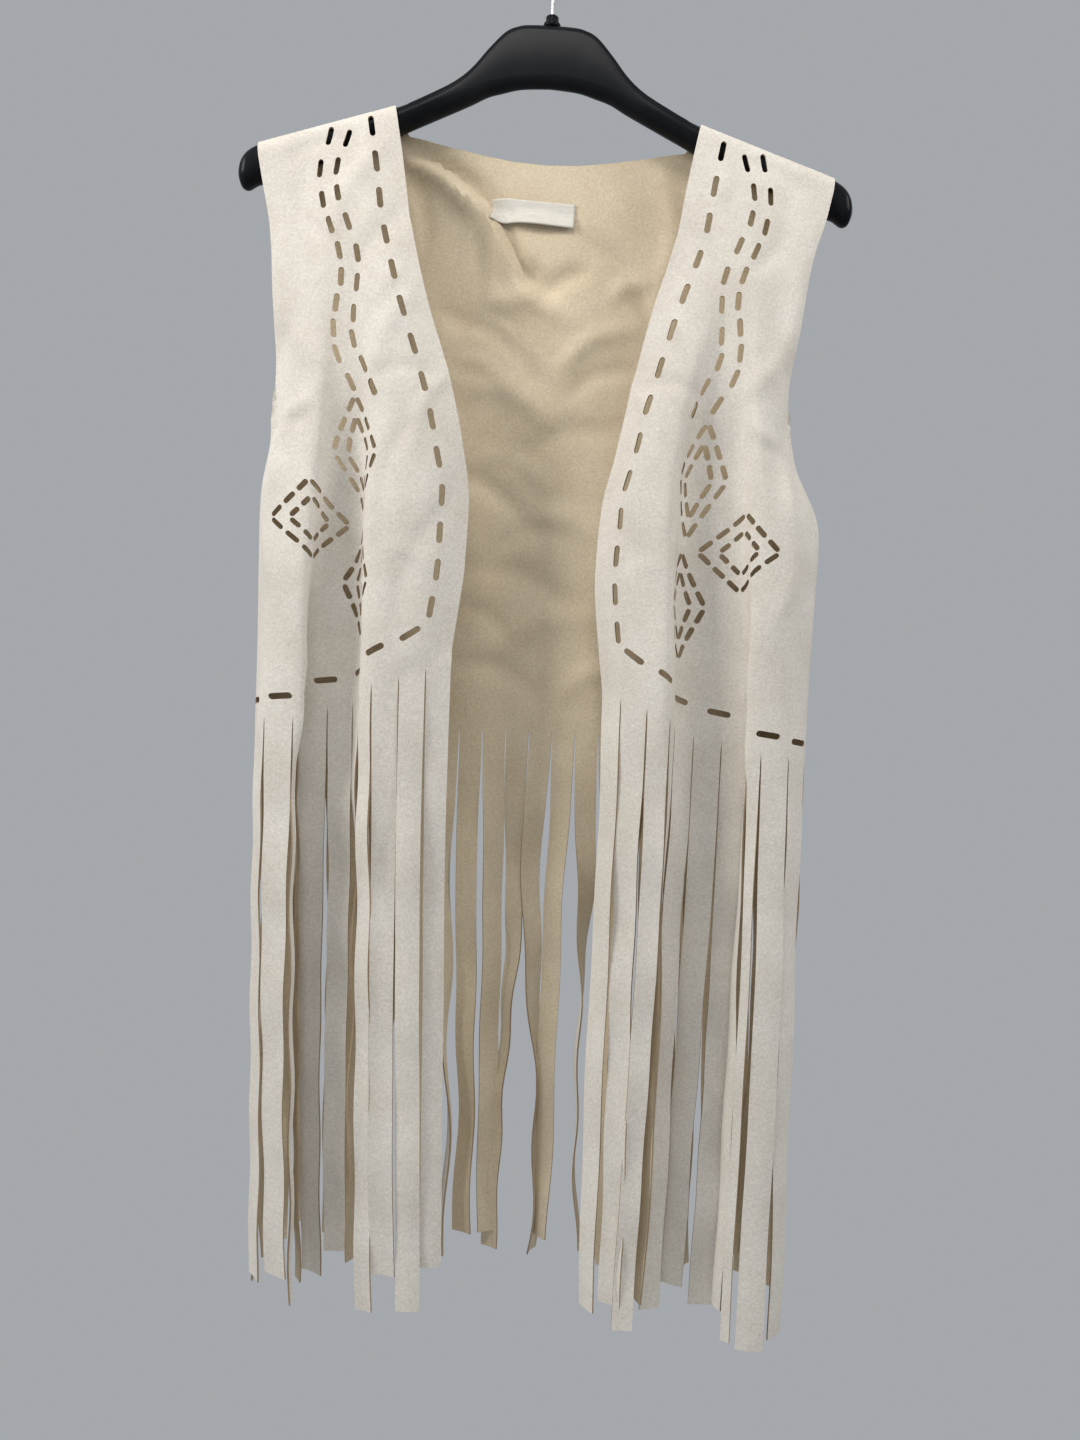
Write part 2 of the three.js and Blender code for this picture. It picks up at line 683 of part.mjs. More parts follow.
function hangerHook() {
  const r = crookRadius;
  const mid = wireThick / 2 - r;
  const path = [[0, -bodyTop + 0.5], [0, mid - r - 6], [4, mid - r + 2.5]];
  for (let a = -50; a <= 205; a += 25.5) {
    const turn = a * Math.PI / 180;
    path.push([r * Math.cos(turn), mid + r * Math.sin(turn)]);
  }
  const curve = new THREE.CatmullRomCurve3(path.map(([x, z]) => new THREE.Vector3(x, 0, z)));
  const round = new THREE.Shape();
  round.absarc(0, 0, wireThick / 2, 0, Math.PI * 2);
  const wire = new THREE.ExtrudeGeometry(round, {
    steps: 24, curveSegments: 4, bevelEnabled: false, extrudePath: curve });
  return solidOf(wire);
}

// Label: a small woven band sewn inside the back, its lower edge standing off a little
function neckLabel(back) {
  const half = 30.8;
  const tilt = 0.033;
  const rows = [];
  for (const [down, off] of [[-9, 1.6], [0, 1.9], [9, 3.6]]) {
    rows.push([-1, -0.5, 0, 0.5, 1].map((s) => {
      const out = -8.8 + s * half - down * tilt;
      const depth = 126 + down + s * half * tilt;
      const on = onRows(back.rows, back.outs, out, depth);
      const dip = down > 0 ? 1 - s * s : 0;
      return new THREE.Vector3(out, on.y - off - dip, -bodyTop - depth);
    }));
  }
  return wall(rows, 0.5);
}

// Everything on the hanger leans with it
function leant(solid, mirror) {
  const { vertProperties, triVerts, numProp } = solid.getMesh();
  const points = [];
  for (let i = 0; i < vertProperties.length; i += numProp) {
    const x = vertProperties[i] * (mirror ? -1 : 1);
    points.push(new THREE.Vector3(x, vertProperties[i + 1], vertProperties[i + 2]
      - sideLean * x));
  }
  const faces = [];
  for (let i = 0; i < triVerts.length; i += 3) {
    const [a, b, c] = triVerts.slice(i, i + 3);
    faces.push(mirror ? [a, c, b] : [a, b, c]);
  }
  return manifoldOf(points, faces);
}

const group = new THREE.Group();
group.name = 'fringe_vest_on_hanger';

function show(name, solid, colour, roughness, metalness = 0) {
  const material = new THREE.MeshStandardMaterial({ color: colour, roughness, metalness });
  const mesh = new THREE.Mesh(geometryOf(solid), material);
  mesh.geometry.computeVertexNormals();
  mesh.name = name;
  group.add(mesh);
}

const suede = 0xddd6c8;
const fronts = {};
for (const side of ['right', 'left']) {
  const rows = frontRows(side);
  const cuts = cutsOf(rows);
  const surface = (at, depth) => onRows(rows, cuts, at, depth);
  let solid = wall(rows, clothThick);
  for (const slot of slotsOfFront(side)) {
    solid = solid.subtract(slotPunch(surface, slot));
  }
  fronts[side] = rows;
  show(`front_${side}`, leant(solid, side === 'right'), suede, 0.95);
}

const back = backRows();
const lastColumn = back[0].length - 1;
const inner = back[0].map((p, i) => i).filter((i) => Math.abs(back[3][i].x) < 106.9);
const backSolid = wall(back, clothThick, (i, j) => i > 2
  || (j + 1 <= inner[0] - 1) || (j >= inner[inner.length - 1] + 1 && j < lastColumn));
show('back', leant(backSolid, false), suede, 0.95);

show('fringe_right', leant(fringe(fronts.right.at(-1), stripsRight, 1), true), suede, 0.95);
show('fringe_left', leant(fringe(fronts.left.at(-1), stripsLeft, 1), false), suede, 0.95);
const backStrips = [];
for (let i = 0; i < stripsBack; i += 1) {
  const away = Math.abs(i - (stripsBack - 1) / 2) / (stripsBack / 2);
  backStrips.push({ long: 384 + 9 * Math.sin(i * 1.7 + 1),
    drift: 13 - 16 * i / (stripsBack - 1) + 2.5 * Math.sin(i * 0.9) * (1 - away),
    sway: 3 * Math.sin(i * 2.4) * (1 - away ** 3) + 7 * away ** 3,
    twist: 9 * Math.sin(i * 3.1 + 0.5) * (1 - away ** 3) });
}
show('fringe_back', leant(fringe(back[back.length - 1], backStrips, 1), false), suede, 0.95);

const backCuts = back.map((row) => row.map((p) => p.x));
show('neck_label', leant(neckLabel({ rows: back.slice(3), outs: backCuts.slice(3) }), false),
  0xcfcac0, 0.5);
show('hanger_body', leant(hangerBody(), false), 0x15161a, 0.3);
show('hanger_hook', hangerHook(), 0xb9bcc0, 0.3, 0.9);

export default group;
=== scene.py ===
import math
import random

import bmesh
import bpy
import numpy as np
from mathutils import Matrix, Vector
from mathutils.geometry import delaunay_2d_cdt


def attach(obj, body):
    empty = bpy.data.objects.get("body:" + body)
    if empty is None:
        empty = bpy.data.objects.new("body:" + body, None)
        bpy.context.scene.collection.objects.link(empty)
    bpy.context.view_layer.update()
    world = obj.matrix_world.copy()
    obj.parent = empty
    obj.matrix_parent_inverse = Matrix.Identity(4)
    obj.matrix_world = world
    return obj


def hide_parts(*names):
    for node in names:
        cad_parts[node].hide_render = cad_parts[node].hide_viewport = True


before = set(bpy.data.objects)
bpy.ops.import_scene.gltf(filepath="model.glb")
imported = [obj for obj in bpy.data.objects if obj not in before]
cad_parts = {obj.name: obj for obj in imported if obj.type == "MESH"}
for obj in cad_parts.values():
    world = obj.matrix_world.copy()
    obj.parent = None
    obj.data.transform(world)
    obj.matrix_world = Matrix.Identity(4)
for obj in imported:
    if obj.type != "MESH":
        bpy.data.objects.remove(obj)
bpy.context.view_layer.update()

# Sizes in millimetres. Depths are measured down from the top of the hanger's body.
vest = {
    "bodyTop": 68.0,
    "lean": math.tan(math.radians(1.3)),  # the wearer's left side hangs lower
    "roll": 12.0,                         # cloth over the hanger's arm
    "neckHalf": 111.0,
    "neckDepth": 66.0,
    "tipHalf": 207.0,
    "tipDepth": 98.0,
    "seam": 0.4,
    "cloth": 1.15,
}

# A front's sections from its front edge to its side seam: depth at the edge and at the side,
# then each fold's half width and forward place. What one side does otherwise is under its name.
foldNames = ["edge", "inner", "step", "valley", "rise", "under", "ridge", "outer", "turn", "seam"]
frontFolds = [
    dict(depth=107, side=132, edge=(102, -13), inner=(118, -14), step=(132, -14),
         valley=(143, -14), rise=(151, -14), under=(158, -13.5), ridge=(165, -13),
         outer=(183, -12.5), turn=(195, -12), seam=(201, -11.5)),
    dict(depth=158, side=164, edge=(93, -17), inner=(109, -19), step=(124, -20),
         valley=(137, -19), rise=(145, -18), under=(152, -17), ridge=(159, -17),
         outer=(177, -14), turn=(187, -12), seam=(192, -10),
         right=dict(turn=(190, -12), seam=(194.5, -10))),
    dict(depth=209, side=209, edge=(80, -20), inner=(98, -24), step=(115, -25),
         valley=(130, -23), rise=(139, -21), under=(147, -20), ridge=(154, -20),
         outer=(170, -16), turn=(180, -13), seam=(184.5, -10),
         right=dict(outer=(173, -17), turn=(185, -13), seam=(190, -10.5)),
         left=dict(edge=(79, -15), inner=(95, -23))),
    dict(depth=258, side=258, edge=(67, -22), inner=(88, -28), step=(108, -29),
         valley=(123, -23), rise=(134, -20), under=(144, -20), ridge=(152.5, -23),
         outer=(167, -19), turn=(176, -14), seam=(181, -9),
         right=dict(edge=(63.5, -22), outer=(171, -19), turn=(183, -14), seam=(188, -10.5)),
         left=dict(edge=(68, -12), inner=(84, -26), step=(105, -30), valley=(116, -20))),
    dict(depth=306, side=306, edge=(53, -22), inner=(79, -31), step=(108, -31),
         valley=(121, -18), rise=(132, -16), under=(144, -20), ridge=(153, -27),
         outer=(168, -21), turn=(180, -14), seam=(186, -7),
         right=dict(edge=(51.5, -22), outer=(173, -22), turn=(184, -15), seam=(189, -10.5)),
         left=dict(edge=(58.5, -10), inner=(75, -27), step=(99, -32), valley=(109, -14),
         rise=(127, -14), under=(144, -18), ridge=(155, -28))),
    dict(depth=348, side=348, edge=(45, -20), inner=(74, -33), step=(111, -33.5),
         valley=(121, -13), rise=(133, -12), under=(146, -19), ridge=(154.5, -30),
         outer=(177, -25), turn=(193, -10), seam=(193.5, 4),
         left=dict(edge=(49.5, -8), inner=(66, -26), step=(97, -33.5), valley=(107, -12),
         rise=(127, -12), under=(148, -18), ridge=(157.5, -30), outer=(182, -24),
         turn=(202, -8), seam=(207, 4))),
    dict(depth=403, side=403, edge=(46.5, -22), inner=(74, -34), step=(111, -35),
         valley=(120.5, -10), rise=(133, -9), under=(151, -16), ridge=(155, -32),
         outer=(180, -28), turn=(193.5, -8), seam=(194.5, 5.8),
         left=dict(edge=(47, -10), inner=(64, -28), step=(96.5, -34.5), valley=(106, -10),
         rise=(127, -9), under=(152, -16), ridge=(157.5, -31), turn=(203, -8),
         seam=(205, 5.8))),
    dict(depth=452, side=452, edge=(52, -25), inner=(77, -35), step=(110, -36),
         valley=(119.5, -9), rise=(134, -7), under=(160, -14), ridge=(154, -32),
         outer=(179, -28), turn=(192, -9), seam=(193.5, 5.8),
         left=dict(edge=(52, -12), inner=(69, -30), step=(98, -36), valley=(107.5, -9),
         rise=(128, -7), under=(160, -13), ridge=(156.5, -31), turn=(201, -10),
         seam=(203, 5.8))),
]
hemFolds = dict(edge=(52, -27), inner=(79, -34), step=(110, -36),
                valley=(119.5, -12), rise=(135, -7), under=(165, -14), ridge=(153, -32),
                outer=(180, -29), turn=(190.5, -13), seam=(192.5, 5.8),
                left=dict(edge=(55, -14), inner=(71.5, -31), step=(99, -36), valley=(108.5, -12),
                rise=(129, -7), under=(165, -14), ridge=(155, -31), outer=(181, -29),
                turn=(199.4, -14), seam=(201.5, 5.8)))
hemDrop = {"right": [(0, 462), (50, 481), (100, 499), (150, 507), (216, 512)],
           "left": [(0, 476), (50, 491), (100, 506), (150, 512), (216, 517)]}
edgeCut = [(62, 111), (100, 104), (150, 95), (200, 81), (250, 68), (300, 53.5), (340, 46), (400, 43.5),
           (450, 45), (520, 46)]

# Back: depth at the middle and at the side, half width on the wearer's right and left,
# forward place of the middle, of the blades and of the side edge
backFolds = [
    (107, 125, 202, 202, 20, 16, 12.4),
    (158, 164, 192, 192, 22, 20, 14),
    (209, 209, 184.5, 184.5, 23, 23, 15),
    (258, 258, 181, 181, 24, 24.5, 15),
    (306, 306, 183, 186, 24, 25, 13),
    (348, 348, 193.5, 207, 24, 25, 6.2),
    (403, 403, 194.5, 205, 24, 25, 6.2),
    (452, 452, 193.5, 203, 24, 25, 6.2),
    (507, 515, 192.5, 201.5, 24, 25, 6.2),
]
backNeck = [(0, 90, 20), (25, 89, 19.5), (50, 86, 18), (75, 82.5, 15.5), (93, 79.5, 13.6), (107, 78, 12.4)]
# place, width, height
backWaves = [(-165, 34, 5), (-92, 40, -7), (-18, 42, 6), (58, 36, -6), (128, 38, 6)]

# Angles around the hanger's arm at which the panels are known, from the shoulder seam down
armAngles = [vest["seam"] / 2 / vest["roll"], 0.3, 0.6, 0.9, 1.2]

# What is counted and where it lies on the flat cut of a front and of the back
frontCut = {"strips": 12, "edgeInset": 20.2, "borderSlots": 14}
backCut = {"strips": 24, "half": 206, "neckHalf": 107, "neckColumn": 21, "hem": 510, "hemRise": 5}


def shoulderDepth(out):
    return vest["neckDepth"] + (out - vest["neckHalf"]) * (vest["tipDepth"] - vest["neckDepth"]) / (
        vest["tipHalf"] - vest["neckHalf"])


def between(table, at):
    xs = [r[0] for r in table]
    return [float(np.interp(at, xs, [r[k] for r in table])) for k in range(1, len(table[0]))]


def smoothStep(t):
    c = min(1.0, max(0.0, t))
    return c * c * (3 - 2 * c)


# A smooth line through points, asked for at places counted in points
def through(points, ts):
    p = np.asarray(points, float)
    n = len(p)
    out = []
    for t in ts:
        i = min(int(t), n - 2)
        f = t - i
        a, b, c, d = p[max(i - 1, 0)], p[i], p[i + 1], p[min(i + 2, n - 1)]
        if i == 0:
            a = 2 * b - c
        if i == n - 2:
            d = 2 * c - b
        out.append(0.5 * (2 * b + (c - a) * f + (2 * a - 5 * b + 4 * c - d) * f * f
                          + (3 * b - a - 3 * c + d) * f ** 3))
    return np.array(out)


# A hanging panel known by rows of points: it gives the place of any point of the flat cut
class Cloth:
    def __init__(self, rows, cuts, fineRows=10, fineColumns=9):
        rows = np.asarray(rows, float)        # rows, columns, 3: across, forward, depth
        cuts = np.asarray(cuts, float)
        both = np.concatenate([rows, cuts[..., None]], axis=2)
        n, m = both.shape[:2]
        ts = np.linspace(0, m - 1, (m - 1) * fineColumns + 1)
        rs = np.linspace(0, n - 1, (n - 1) * fineRows + 1)
        wide = np.array([through(row, ts) for row in both])
        self.grid = np.stack([through(wide[:, j], rs) for j in range(wide.shape[1])], axis=1)
        self.cut = np.maximum.accumulate(self.grid[..., 3], axis=1)
        self.depth = np.maximum.accumulate(self.grid[..., 2], axis=0)

    def at(self, cut, depth):
        g = self.grid
        n, m = g.shape[:2]
        t = (m - 1) * 0.5
        r = 0.0
        for _ in range(7):
            j = min(int(t), m - 2)
            f = t - j
            column = self.depth[:, j] * (1 - f) + self.depth[:, j + 1] * f
            r = float(np.interp(depth, column, np.arange(n)))
            i = min(int(r), n - 2)
            e = r - i
            line = self.cut[i] * (1 - e) + self.cut[i + 1] * e
            t = float(np.interp(cut, line, np.arange(m)))
        i, j = min(int(r), n - 2), min(int(t), m - 2)
        e, f = r - i, t - j
        return ((g[i, j] * (1 - e) + g[i + 1, j] * e) * (1 - f)
                + (g[i, j + 1] * (1 - e) + g[i + 1, j + 1] * e) * f)[:3]


def lengthsOf(line):
    return np.concatenate([[0], np.cumsum(np.linalg.norm(np.diff(line, axis=0), axis=1))])


def foldsOf(section, side):
    here = {**section, **section.get(side, {})}
    return [here[n] for n in foldNames]


def frontRows(side):
    first = np.array(foldsOf(frontFolds[0], side), float)
    share = (first[:, 0] - first[0, 0]) / (first[-1, 0] - first[0, 0])
    rows = []
    for angle in armAngles + [1.5]:
        row = []
        for s in share:
            out = vest["neckHalf"] - 2.2 * angle + (96 + 1.4 * angle) * s
            row.append((out, -vest["roll"] * math.sin(angle),
                        shoulderDepth(out) + vest["roll"] * (1 - math.cos(angle))))
        rows.append(row)
    for section in frontFolds:
        folds = foldsOf(section, side)
        far = lengthsOf(np.array(folds, float))
        drop = section["side"] - section["depth"]
        rows.append([(p[0], p[1], section["depth"] + drop * d / far[-1]) for p, d in zip(folds, far)])
    folds = foldsOf(hemFolds, side)
    far = lengthsOf(np.array(folds, float))
    rows.append([(p[0], p[1], between(hemDrop[side], d)[0]) for p, d in zip(folds, far)])
    return rows


def cutsOf(rows):
    cuts = []
    for row in rows:
        fine = through(row, np.linspace(0, len(row) - 1, (len(row) - 1) * 8 + 1))
        far = lengthsOf(fine)[::8]
        cuts.append(between(edgeCut, row[0][2])[0] + far)
    return cuts


def backRows():
    outs = np.array([0, 25, 50, 75, 93, 107, 122, 137, 152, 167, 175, 181, 187, 193, 198, 202, 206], float)
    outs = np.concatenate([-outs[:0:-1], outs])
    rows = []
    for k, angle in enumerate(armAngles):
        row = []
        for out in outs:
            far = abs(out)
            if far < backCut["neckHalf"]:
                depth, forward = between(backNeck, far)
                row.append((out, forward, depth - (5 - k) * 0.6))
                continue
            s = (far - backCut["neckHalf"]) / (backCut["half"] - backCut["neckHalf"])
            real = vest["neckHalf"] - 2.2 * angle + (96 + 1.4 * angle) * s
            row.append((math.copysign(real, out), vest["roll"] * math.sin(angle),
                        shoulderDepth(real) + vest["roll"] * (1 - math.cos(angle))))
        rows.append(row)
    row = []
    for out in outs:
        far = abs(out)
        if far <= backCut["neckHalf"]:
            depth, forward = between(backNeck, far)
            row.append((out, forward, depth))
        else:
            row.append((out, vest["roll"] + 0.2, shoulderDepth(far) + vest["roll"]))
    rows.append(row)
    for n, (depth, side, right, left, middle, blade, edge) in enumerate(backFolds):
        row = []
        for out in outs:
            share = abs(out) / backCut["half"]
            half = right if out < 0 else left
            lift = max(0, between(backNeck, abs(out))[0] + 9 - depth) if n == 0 else 0
            flat = middle + (blade - middle) * smoothStep(share * 1.4)
            corner = max(0, (share - 0.85) / 0.15) * math.pi / 2
            wide = share if share < 0.85 else 0.85 + 0.15 * math.sin(corner)
            fade = smoothStep((depth - 150) / 330) * smoothStep((1 - share) * 6)
            wave = sum(high * math.exp(-(((out - at) / width) ** 2)) for at, width, high in backWaves)
            forward = edge + (flat - edge) * math.cos(corner) + wave * fade
            sink = (side - depth) * share ** 2 + lift
            row.append((math.copysign(half * wide, out), forward, depth + sink))
        rows.append(row)
    return rows, [list(outs)] * len(rows)


# Places on the flat cut where the cloth bends over the hanger's arm: its top edge,
# both ends of the bend, and rows of points between them
def bendOver(rows, cuts, first=0):
    known = range(len(armAngles))
    lift = [vest["roll"] * (1 - math.cos(angle)) for angle in armAngles]
    columns = range(first, len(cuts[0]))
    hair = 0.003  # keeps the points just inside the first row
    lines = []
    for angle in (armAngles[0], 0.15, 0.35, 0.55, 0.75, 0.95):
        at = [np.interp(angle, armAngles, [cuts[i][j] for i in known]) for j in columns]
        depths = [np.interp(angle, armAngles, [rows[i][j][2] - lift[i] for i in known])
                  + vest["roll"] * (1 - math.cos(angle)) + hair for j in columns]
        lines.append((at, depths))
    pointsAcross = 22
    xs = np.linspace(lines[0][0][0], lines[0][0][-1], pointsAcross)
    return {"top": [(float(x), float(np.interp(x, *lines[0]))) for x in xs],
            "neck": [(float(at[0]), float(depths[0])) for at, depths in lines[1:]],
            "tip": [(float(at[-1]), float(depths[-1])) for at, depths in lines[1:]],
            "inner": [(float(x), float(np.interp(x, *line))) for line in lines[1:] for x in xs[1:-1]]}


# Creases are soft ridges (+) and troughs (-) between two places of the cut:
# across, depth, across, depth, width, height
frontCreases = [
    (118, 100, 150, 190, 8, 2.2), (176, 120, 150, 175, 7, -2.0), (186, 175, 158, 262, 9, 2.4),
    (104, 150, 132, 236, 9, -2.2), (92, 210, 118, 290, 7, 2.0), (178, 232, 196, 300, 8, -2.2),
    (168, 285, 210, 345, 5, 2.4), (90, 300, 104, 372, 6, -1.6), (205, 330, 214, 420, 7, 1.6),
    (60, 352, 84, 452, 8, -1.5), (196, 420, 188, 496, 6, 1.3), (66, 262, 86, 318, 5, 1.5),
    (148, 96, 186, 112, 6, -1.3), (128, 86, 122, 128, 5, 1.2), (80, 262, 118, 268, 5, -1.3),
    (176, 300, 214, 318, 4, -1.6), (98, 190, 112, 214, 5, 1.4), (70, 400, 96, 388, 6, 1.0),
]
backCreases = [
    (-110, 90, -22, 176, 7, -8.0), (-100, 86, -14, 164, 7, 7.5), (-70, 118, -6, 164, 6, -3.4),
    (-16, 168, 6, 182, 7, 4.2), (6, 184, 34, 166, 7, 4.0), (-30, 190, 22, 204, 7, -3.6),
    (-46, 200, -14, 214, 6, 2.4), (38, 146, 90, 196, 7, 3.6), (58, 182, 84, 172, 6, -2.8),
    (-74, 206, -4, 244, 8, 3.6), (20, 236, 74, 208, 7, -3.2), (-66, 236, -24, 254, 6, -2.2),
    (-62, 256, 22, 284, 9, -3.0), (28, 256, 78, 238, 7, 2.2), (-16, 308, 64, 284, 9, 2.8),
    (-42, 306, 12, 326, 7, -1.8), (-70, 322, -8, 352, 8, 3.0), (6, 346, 66, 378, 9, -3.0),
    (-30, 376, 18, 360, 7, 1.8), (-58, 390, 36, 418, 10, 3.0), (-24, 448, 54, 422, 9, -2.6),
    (-50, 420, -16, 440, 6, 1.8), (-60, 462, 6, 480, 8, 2.2), (24, 482, 68, 460, 8, -2.2),
    (-150, 120, -118, 230, 14, 3.0), (146, 128, 112, 236, 13, 2.8), (-176, 250, -120, 330, 14, -3.2),
    (172, 262, 112, 342, 13, 3.0), (-140, 360, -128, 490, 15, 2.6), (104, 380, 118, 500, 14, -2.8),
    (-97, 108, -104, 172, 7, 3.2), (86, 98, 97, 170, 7, -3.2), (-46, 150, -70, 206, 7, 3.4),
]


def creaseHeight(creases, x, y):
    high = 0.0
    for x0, y0, x1, y1, width, height in creases:
        dx, dy = x1 - x0, y1 - y0
        whole = dx * dx + dy * dy
        t = ((x - x0) * dx + (y - y0) * dy) / whole
        if t < -0.35 or t > 1.35:
            continue
        bend = 0.12 * math.sqrt(whole) * math.sin(math.pi * min(1, max(0, t)))
        off = ((x - x0) * dy - (y - y0) * dx) / math.sqrt(whole) - bend
        along = smoothStep((t + 0.35) / 0.6) * smoothStep((1.35 - t) / 0.6)
        high += height * along * math.exp(-(off / width) ** 2)
    return high


# Slots, on the flat cut of one front
chainOuter = [(158, 95), (163, 119), (158.5, 142), (150.5, 161), (143, 179), (140.5, 197.5), (144, 216),
              (147, 234), (146, 252), (137, 271)]
chainInner = [(144.5, 96), (150.5, 117), (147.5, 137.5), (138.5, 158), (130, 180), (129, 201), (132, 223),
              (133.5, 241), (126, 259), (117.5, 276)]
upperPlace = {"right": (134, 321), "left": (133, 324)}
lowerPlace = {"right": (132, 411), "left": (130, 413)}
sidePlace = {"right": (181, 370.5), "left": (174, 374)}
# place of the middle, half width, half height and slots a side: each diamond holds a smaller one
diamonds = [(upperPlace, 21, 41.3, 3), (upperPlace, 10.5, 27, 2), (lowerPlace, 20, 38.5, 3),
            (lowerPlace, 10.5, 25, 2), (sidePlace, 32, 27.5, 3), (sidePlace, 17.5, 15.5, 2)]
# distance from the front edge, depth, slope in degrees
lowerBorder = [(31, 446.5, 38), (54, 459, 28), (86, 474, 14), (115, 481.5, 9), (146.5, 489, 9),
               (178, 495, 7), (204, 499, 5)]
lowerBorderDrop = {"right": 0, "left": 6}
borderStart = {"right": (86.4, 26.2), "left": (89, 26.7)}  # depth of the first slot, pitch
slotSize = {"border": (15.4, 4.3), "lower": (15.6, 4.3), "chain": (13.4, 4.1), "diamond": (11.2, 3.7)}


def frontSlots(side):
    slots = []
    first, pitch = borderStart[side]
    for i in range(frontCut["borderSlots"]):
        depth = first + pitch * i
        ahead = between(edgeCut, depth + 8)[0] - between(edgeCut, depth - 8)[0]
        at = between(edgeCut, depth)[0] + frontCut["edgeInset"]
        slots.append((at, depth, math.atan2(16, ahead), *slotSize["border"]))
    for out, depth, slope in lowerBorder:
        at = between(edgeCut, depth)[0] + out
        slots.append((at, depth + lowerBorderDrop[side], math.radians(slope), *slotSize["lower"]))
    for chain in (chainOuter, chainInner):
        for i, (at, depth) in enumerate(chain):
            a, b = chain[max(0, i - 1)], chain[min(len(chain) - 1, i + 1)]
            slots.append((at, depth, math.atan2(b[1] - a[1], b[0] - a[0]), *slotSize["chain"]))
    for middle, half, high, count in diamonds:
        at, depth = middle[side]
        long = min(slotSize["diamond"][0], math.hypot(half, high) / count - 3)
        for across in (1, -1):
            for down in (1, -1):
                for i in range(count):
                    t = (i + 0.5) / count
                    slots.append((at + across * half * (1 - t), depth + down * high * t,
                                  math.atan2(down * high, -across * half), long, slotSize["diamond"][1]))
    return slots


def slotLoop(slot, around=5):
    at, depth, slope, long, wide = slot
    c, s = math.cos(slope), math.sin(slope)
    loop = []
    straight = long / 2 - wide / 2
    for end in (1, -1):
        for k in range(around + 1):
            a = -math.pi / 2 + math.pi * k / around
            x = end * (straight + wide / 2 * math.cos(a))
            y = end * wide / 2 * math.sin(a)
            loop.append((at + x * c - y * s, depth + x * s + y * c))
        loop.append((at - end * wide / 2 * s, depth + end * wide / 2 * c))
    return loop


# Triangles of the flat cut: the outline, its holes, the given inner points and an even scatter
def flatMesh(outline, holes, inner, step, seed):
    pts = [Vector(p) for p in outline]
    edges = [(i, (i + 1) % len(outline)) for i in range(len(outline))]
    for hole in holes:
        base = len(pts)
        pts += [Vector(p) for p in hole]
        edges += [(base + i, base + (i + 1) % len(hole)) for i in range(len(hole))]
    pts += [Vector(p) for p in inner]
    o = np.array(outline)
    lo, hi = o.min(axis=0), o.max(axis=0)
    rng = random.Random(seed)
    near = {}
    for p in pts:
        near.setdefault((int(p[0] // step), int(p[1] // step)), []).append(p)

    def clear(x, y, by):
        kx, ky = int(x // step), int(y // step)
        return all((x - p[0]) ** 2 + (y - p[1]) ** 2 > by * by
                   for i in (-1, 0, 1) for j in (-1, 0, 1) for p in near.get((kx + i, ky + j), ()))

    y = lo[1] + step / 2
    odd = 0
    while y < hi[1]:
        x = lo[0] + step * (0.5 + 0.5 * odd)
        while x < hi[0]:
            px, py = x + rng.uniform(-0.12, 0.12) * step, y + rng.uniform(-0.12, 0.12) * step
            if clear(px, py, step * 0.5):
                pts.append(Vector((px, py)))
            x += step
        y += step * 0.87
        odd = 1 - odd
    verts, _, faces, *_ = delaunay_2d_cdt(pts, edges, [], 0, 1e-6)
    v = np.array([(p[0], p[1]) for p in verts])
    tri = np.array([f for f in faces if len(f) == 3])
    mid = v[tri].mean(axis=1)

    def inside(loop):
        poly = np.array(loop)
        a, b = poly, np.roll(poly, -1, axis=0)
        hit = np.zeros(len(mid), bool)
        for (ax, ay), (bx, by) in zip(a, b):
            cross = (ay > mid[:, 1]) != (by > mid[:, 1])
            with np.errstate(divide="ignore", invalid="ignore"):
                at = (bx - ax) * (mid[:, 1] - ay) / (by - ay + 1e-12) + ax
            hit ^= cross & (mid[:, 0] < at)
        return hit

    keep = inside(outline)
    for hole in holes:
        h = np.array(hole)
        box = ((mid > h.min(axis=0)) & (mid < h.max(axis=0))).all(axis=1)
        if box.any():
            keep &= ~(inside(hole) & box)
    return v, tri[keep]


# Millimetres across, forward and depth, to the frame's metres, leaning with the hanger
def placed(p, mirror=False):
    x = -p[0] if mirror else p[0]
    return (x / 1000, p[1] / 1000, (-vest["bodyTop"] - p[2] - vest["lean"] * x) / 1000)


# Hanging strips: length, sideways drift and forward drift of the tip, twist in degrees
rightStrips = [
    (420, -11, 2, 6), (441, -13, -3, -8), (412, -14, 3, 10), (432, -14, -2, -6), (398, -13, 6, 12),
    (391, -12, 2, -10), (404, -13, 6, 5), (402, -15, 5, 0), (409, -14, -4, -4), (388, -11, -2, 5),
    (394, -12, -2, -4), (400, -13, -2, -2)]
leftStrips = [
    (432, 0, -3, -5), (418, -3, 2, 8), (427, -6, -2, -6), (406, -7, 2, 8), (414, -8, 5, -10),
    (392, -9, 4, 7), (402, -9, 7, -5), (396, -7, 5, 0), (411, -4, -4, 5), (414, -1, -3, -5),
    (407, -1, -2, 4), (410, -3, -2, -2)]


def backStrips():
    out = []
    count = backCut["strips"]
    for i in range(count):
        away = abs(i - (count - 1) / 2) / (count / 2)
        out.append((384 + 9 * math.sin(i * 1.7 + 1),
                    13 - 16 * i / (count - 1) + 2.5 * math.sin(i * 0.9) * (1 - away),
                    3 * math.sin(i * 2.4) * (1 - away ** 3) + 7 * away ** 3,
                    9 * math.sin(i * 3.1 + 0.5) * (1 - away ** 3)))
    return out


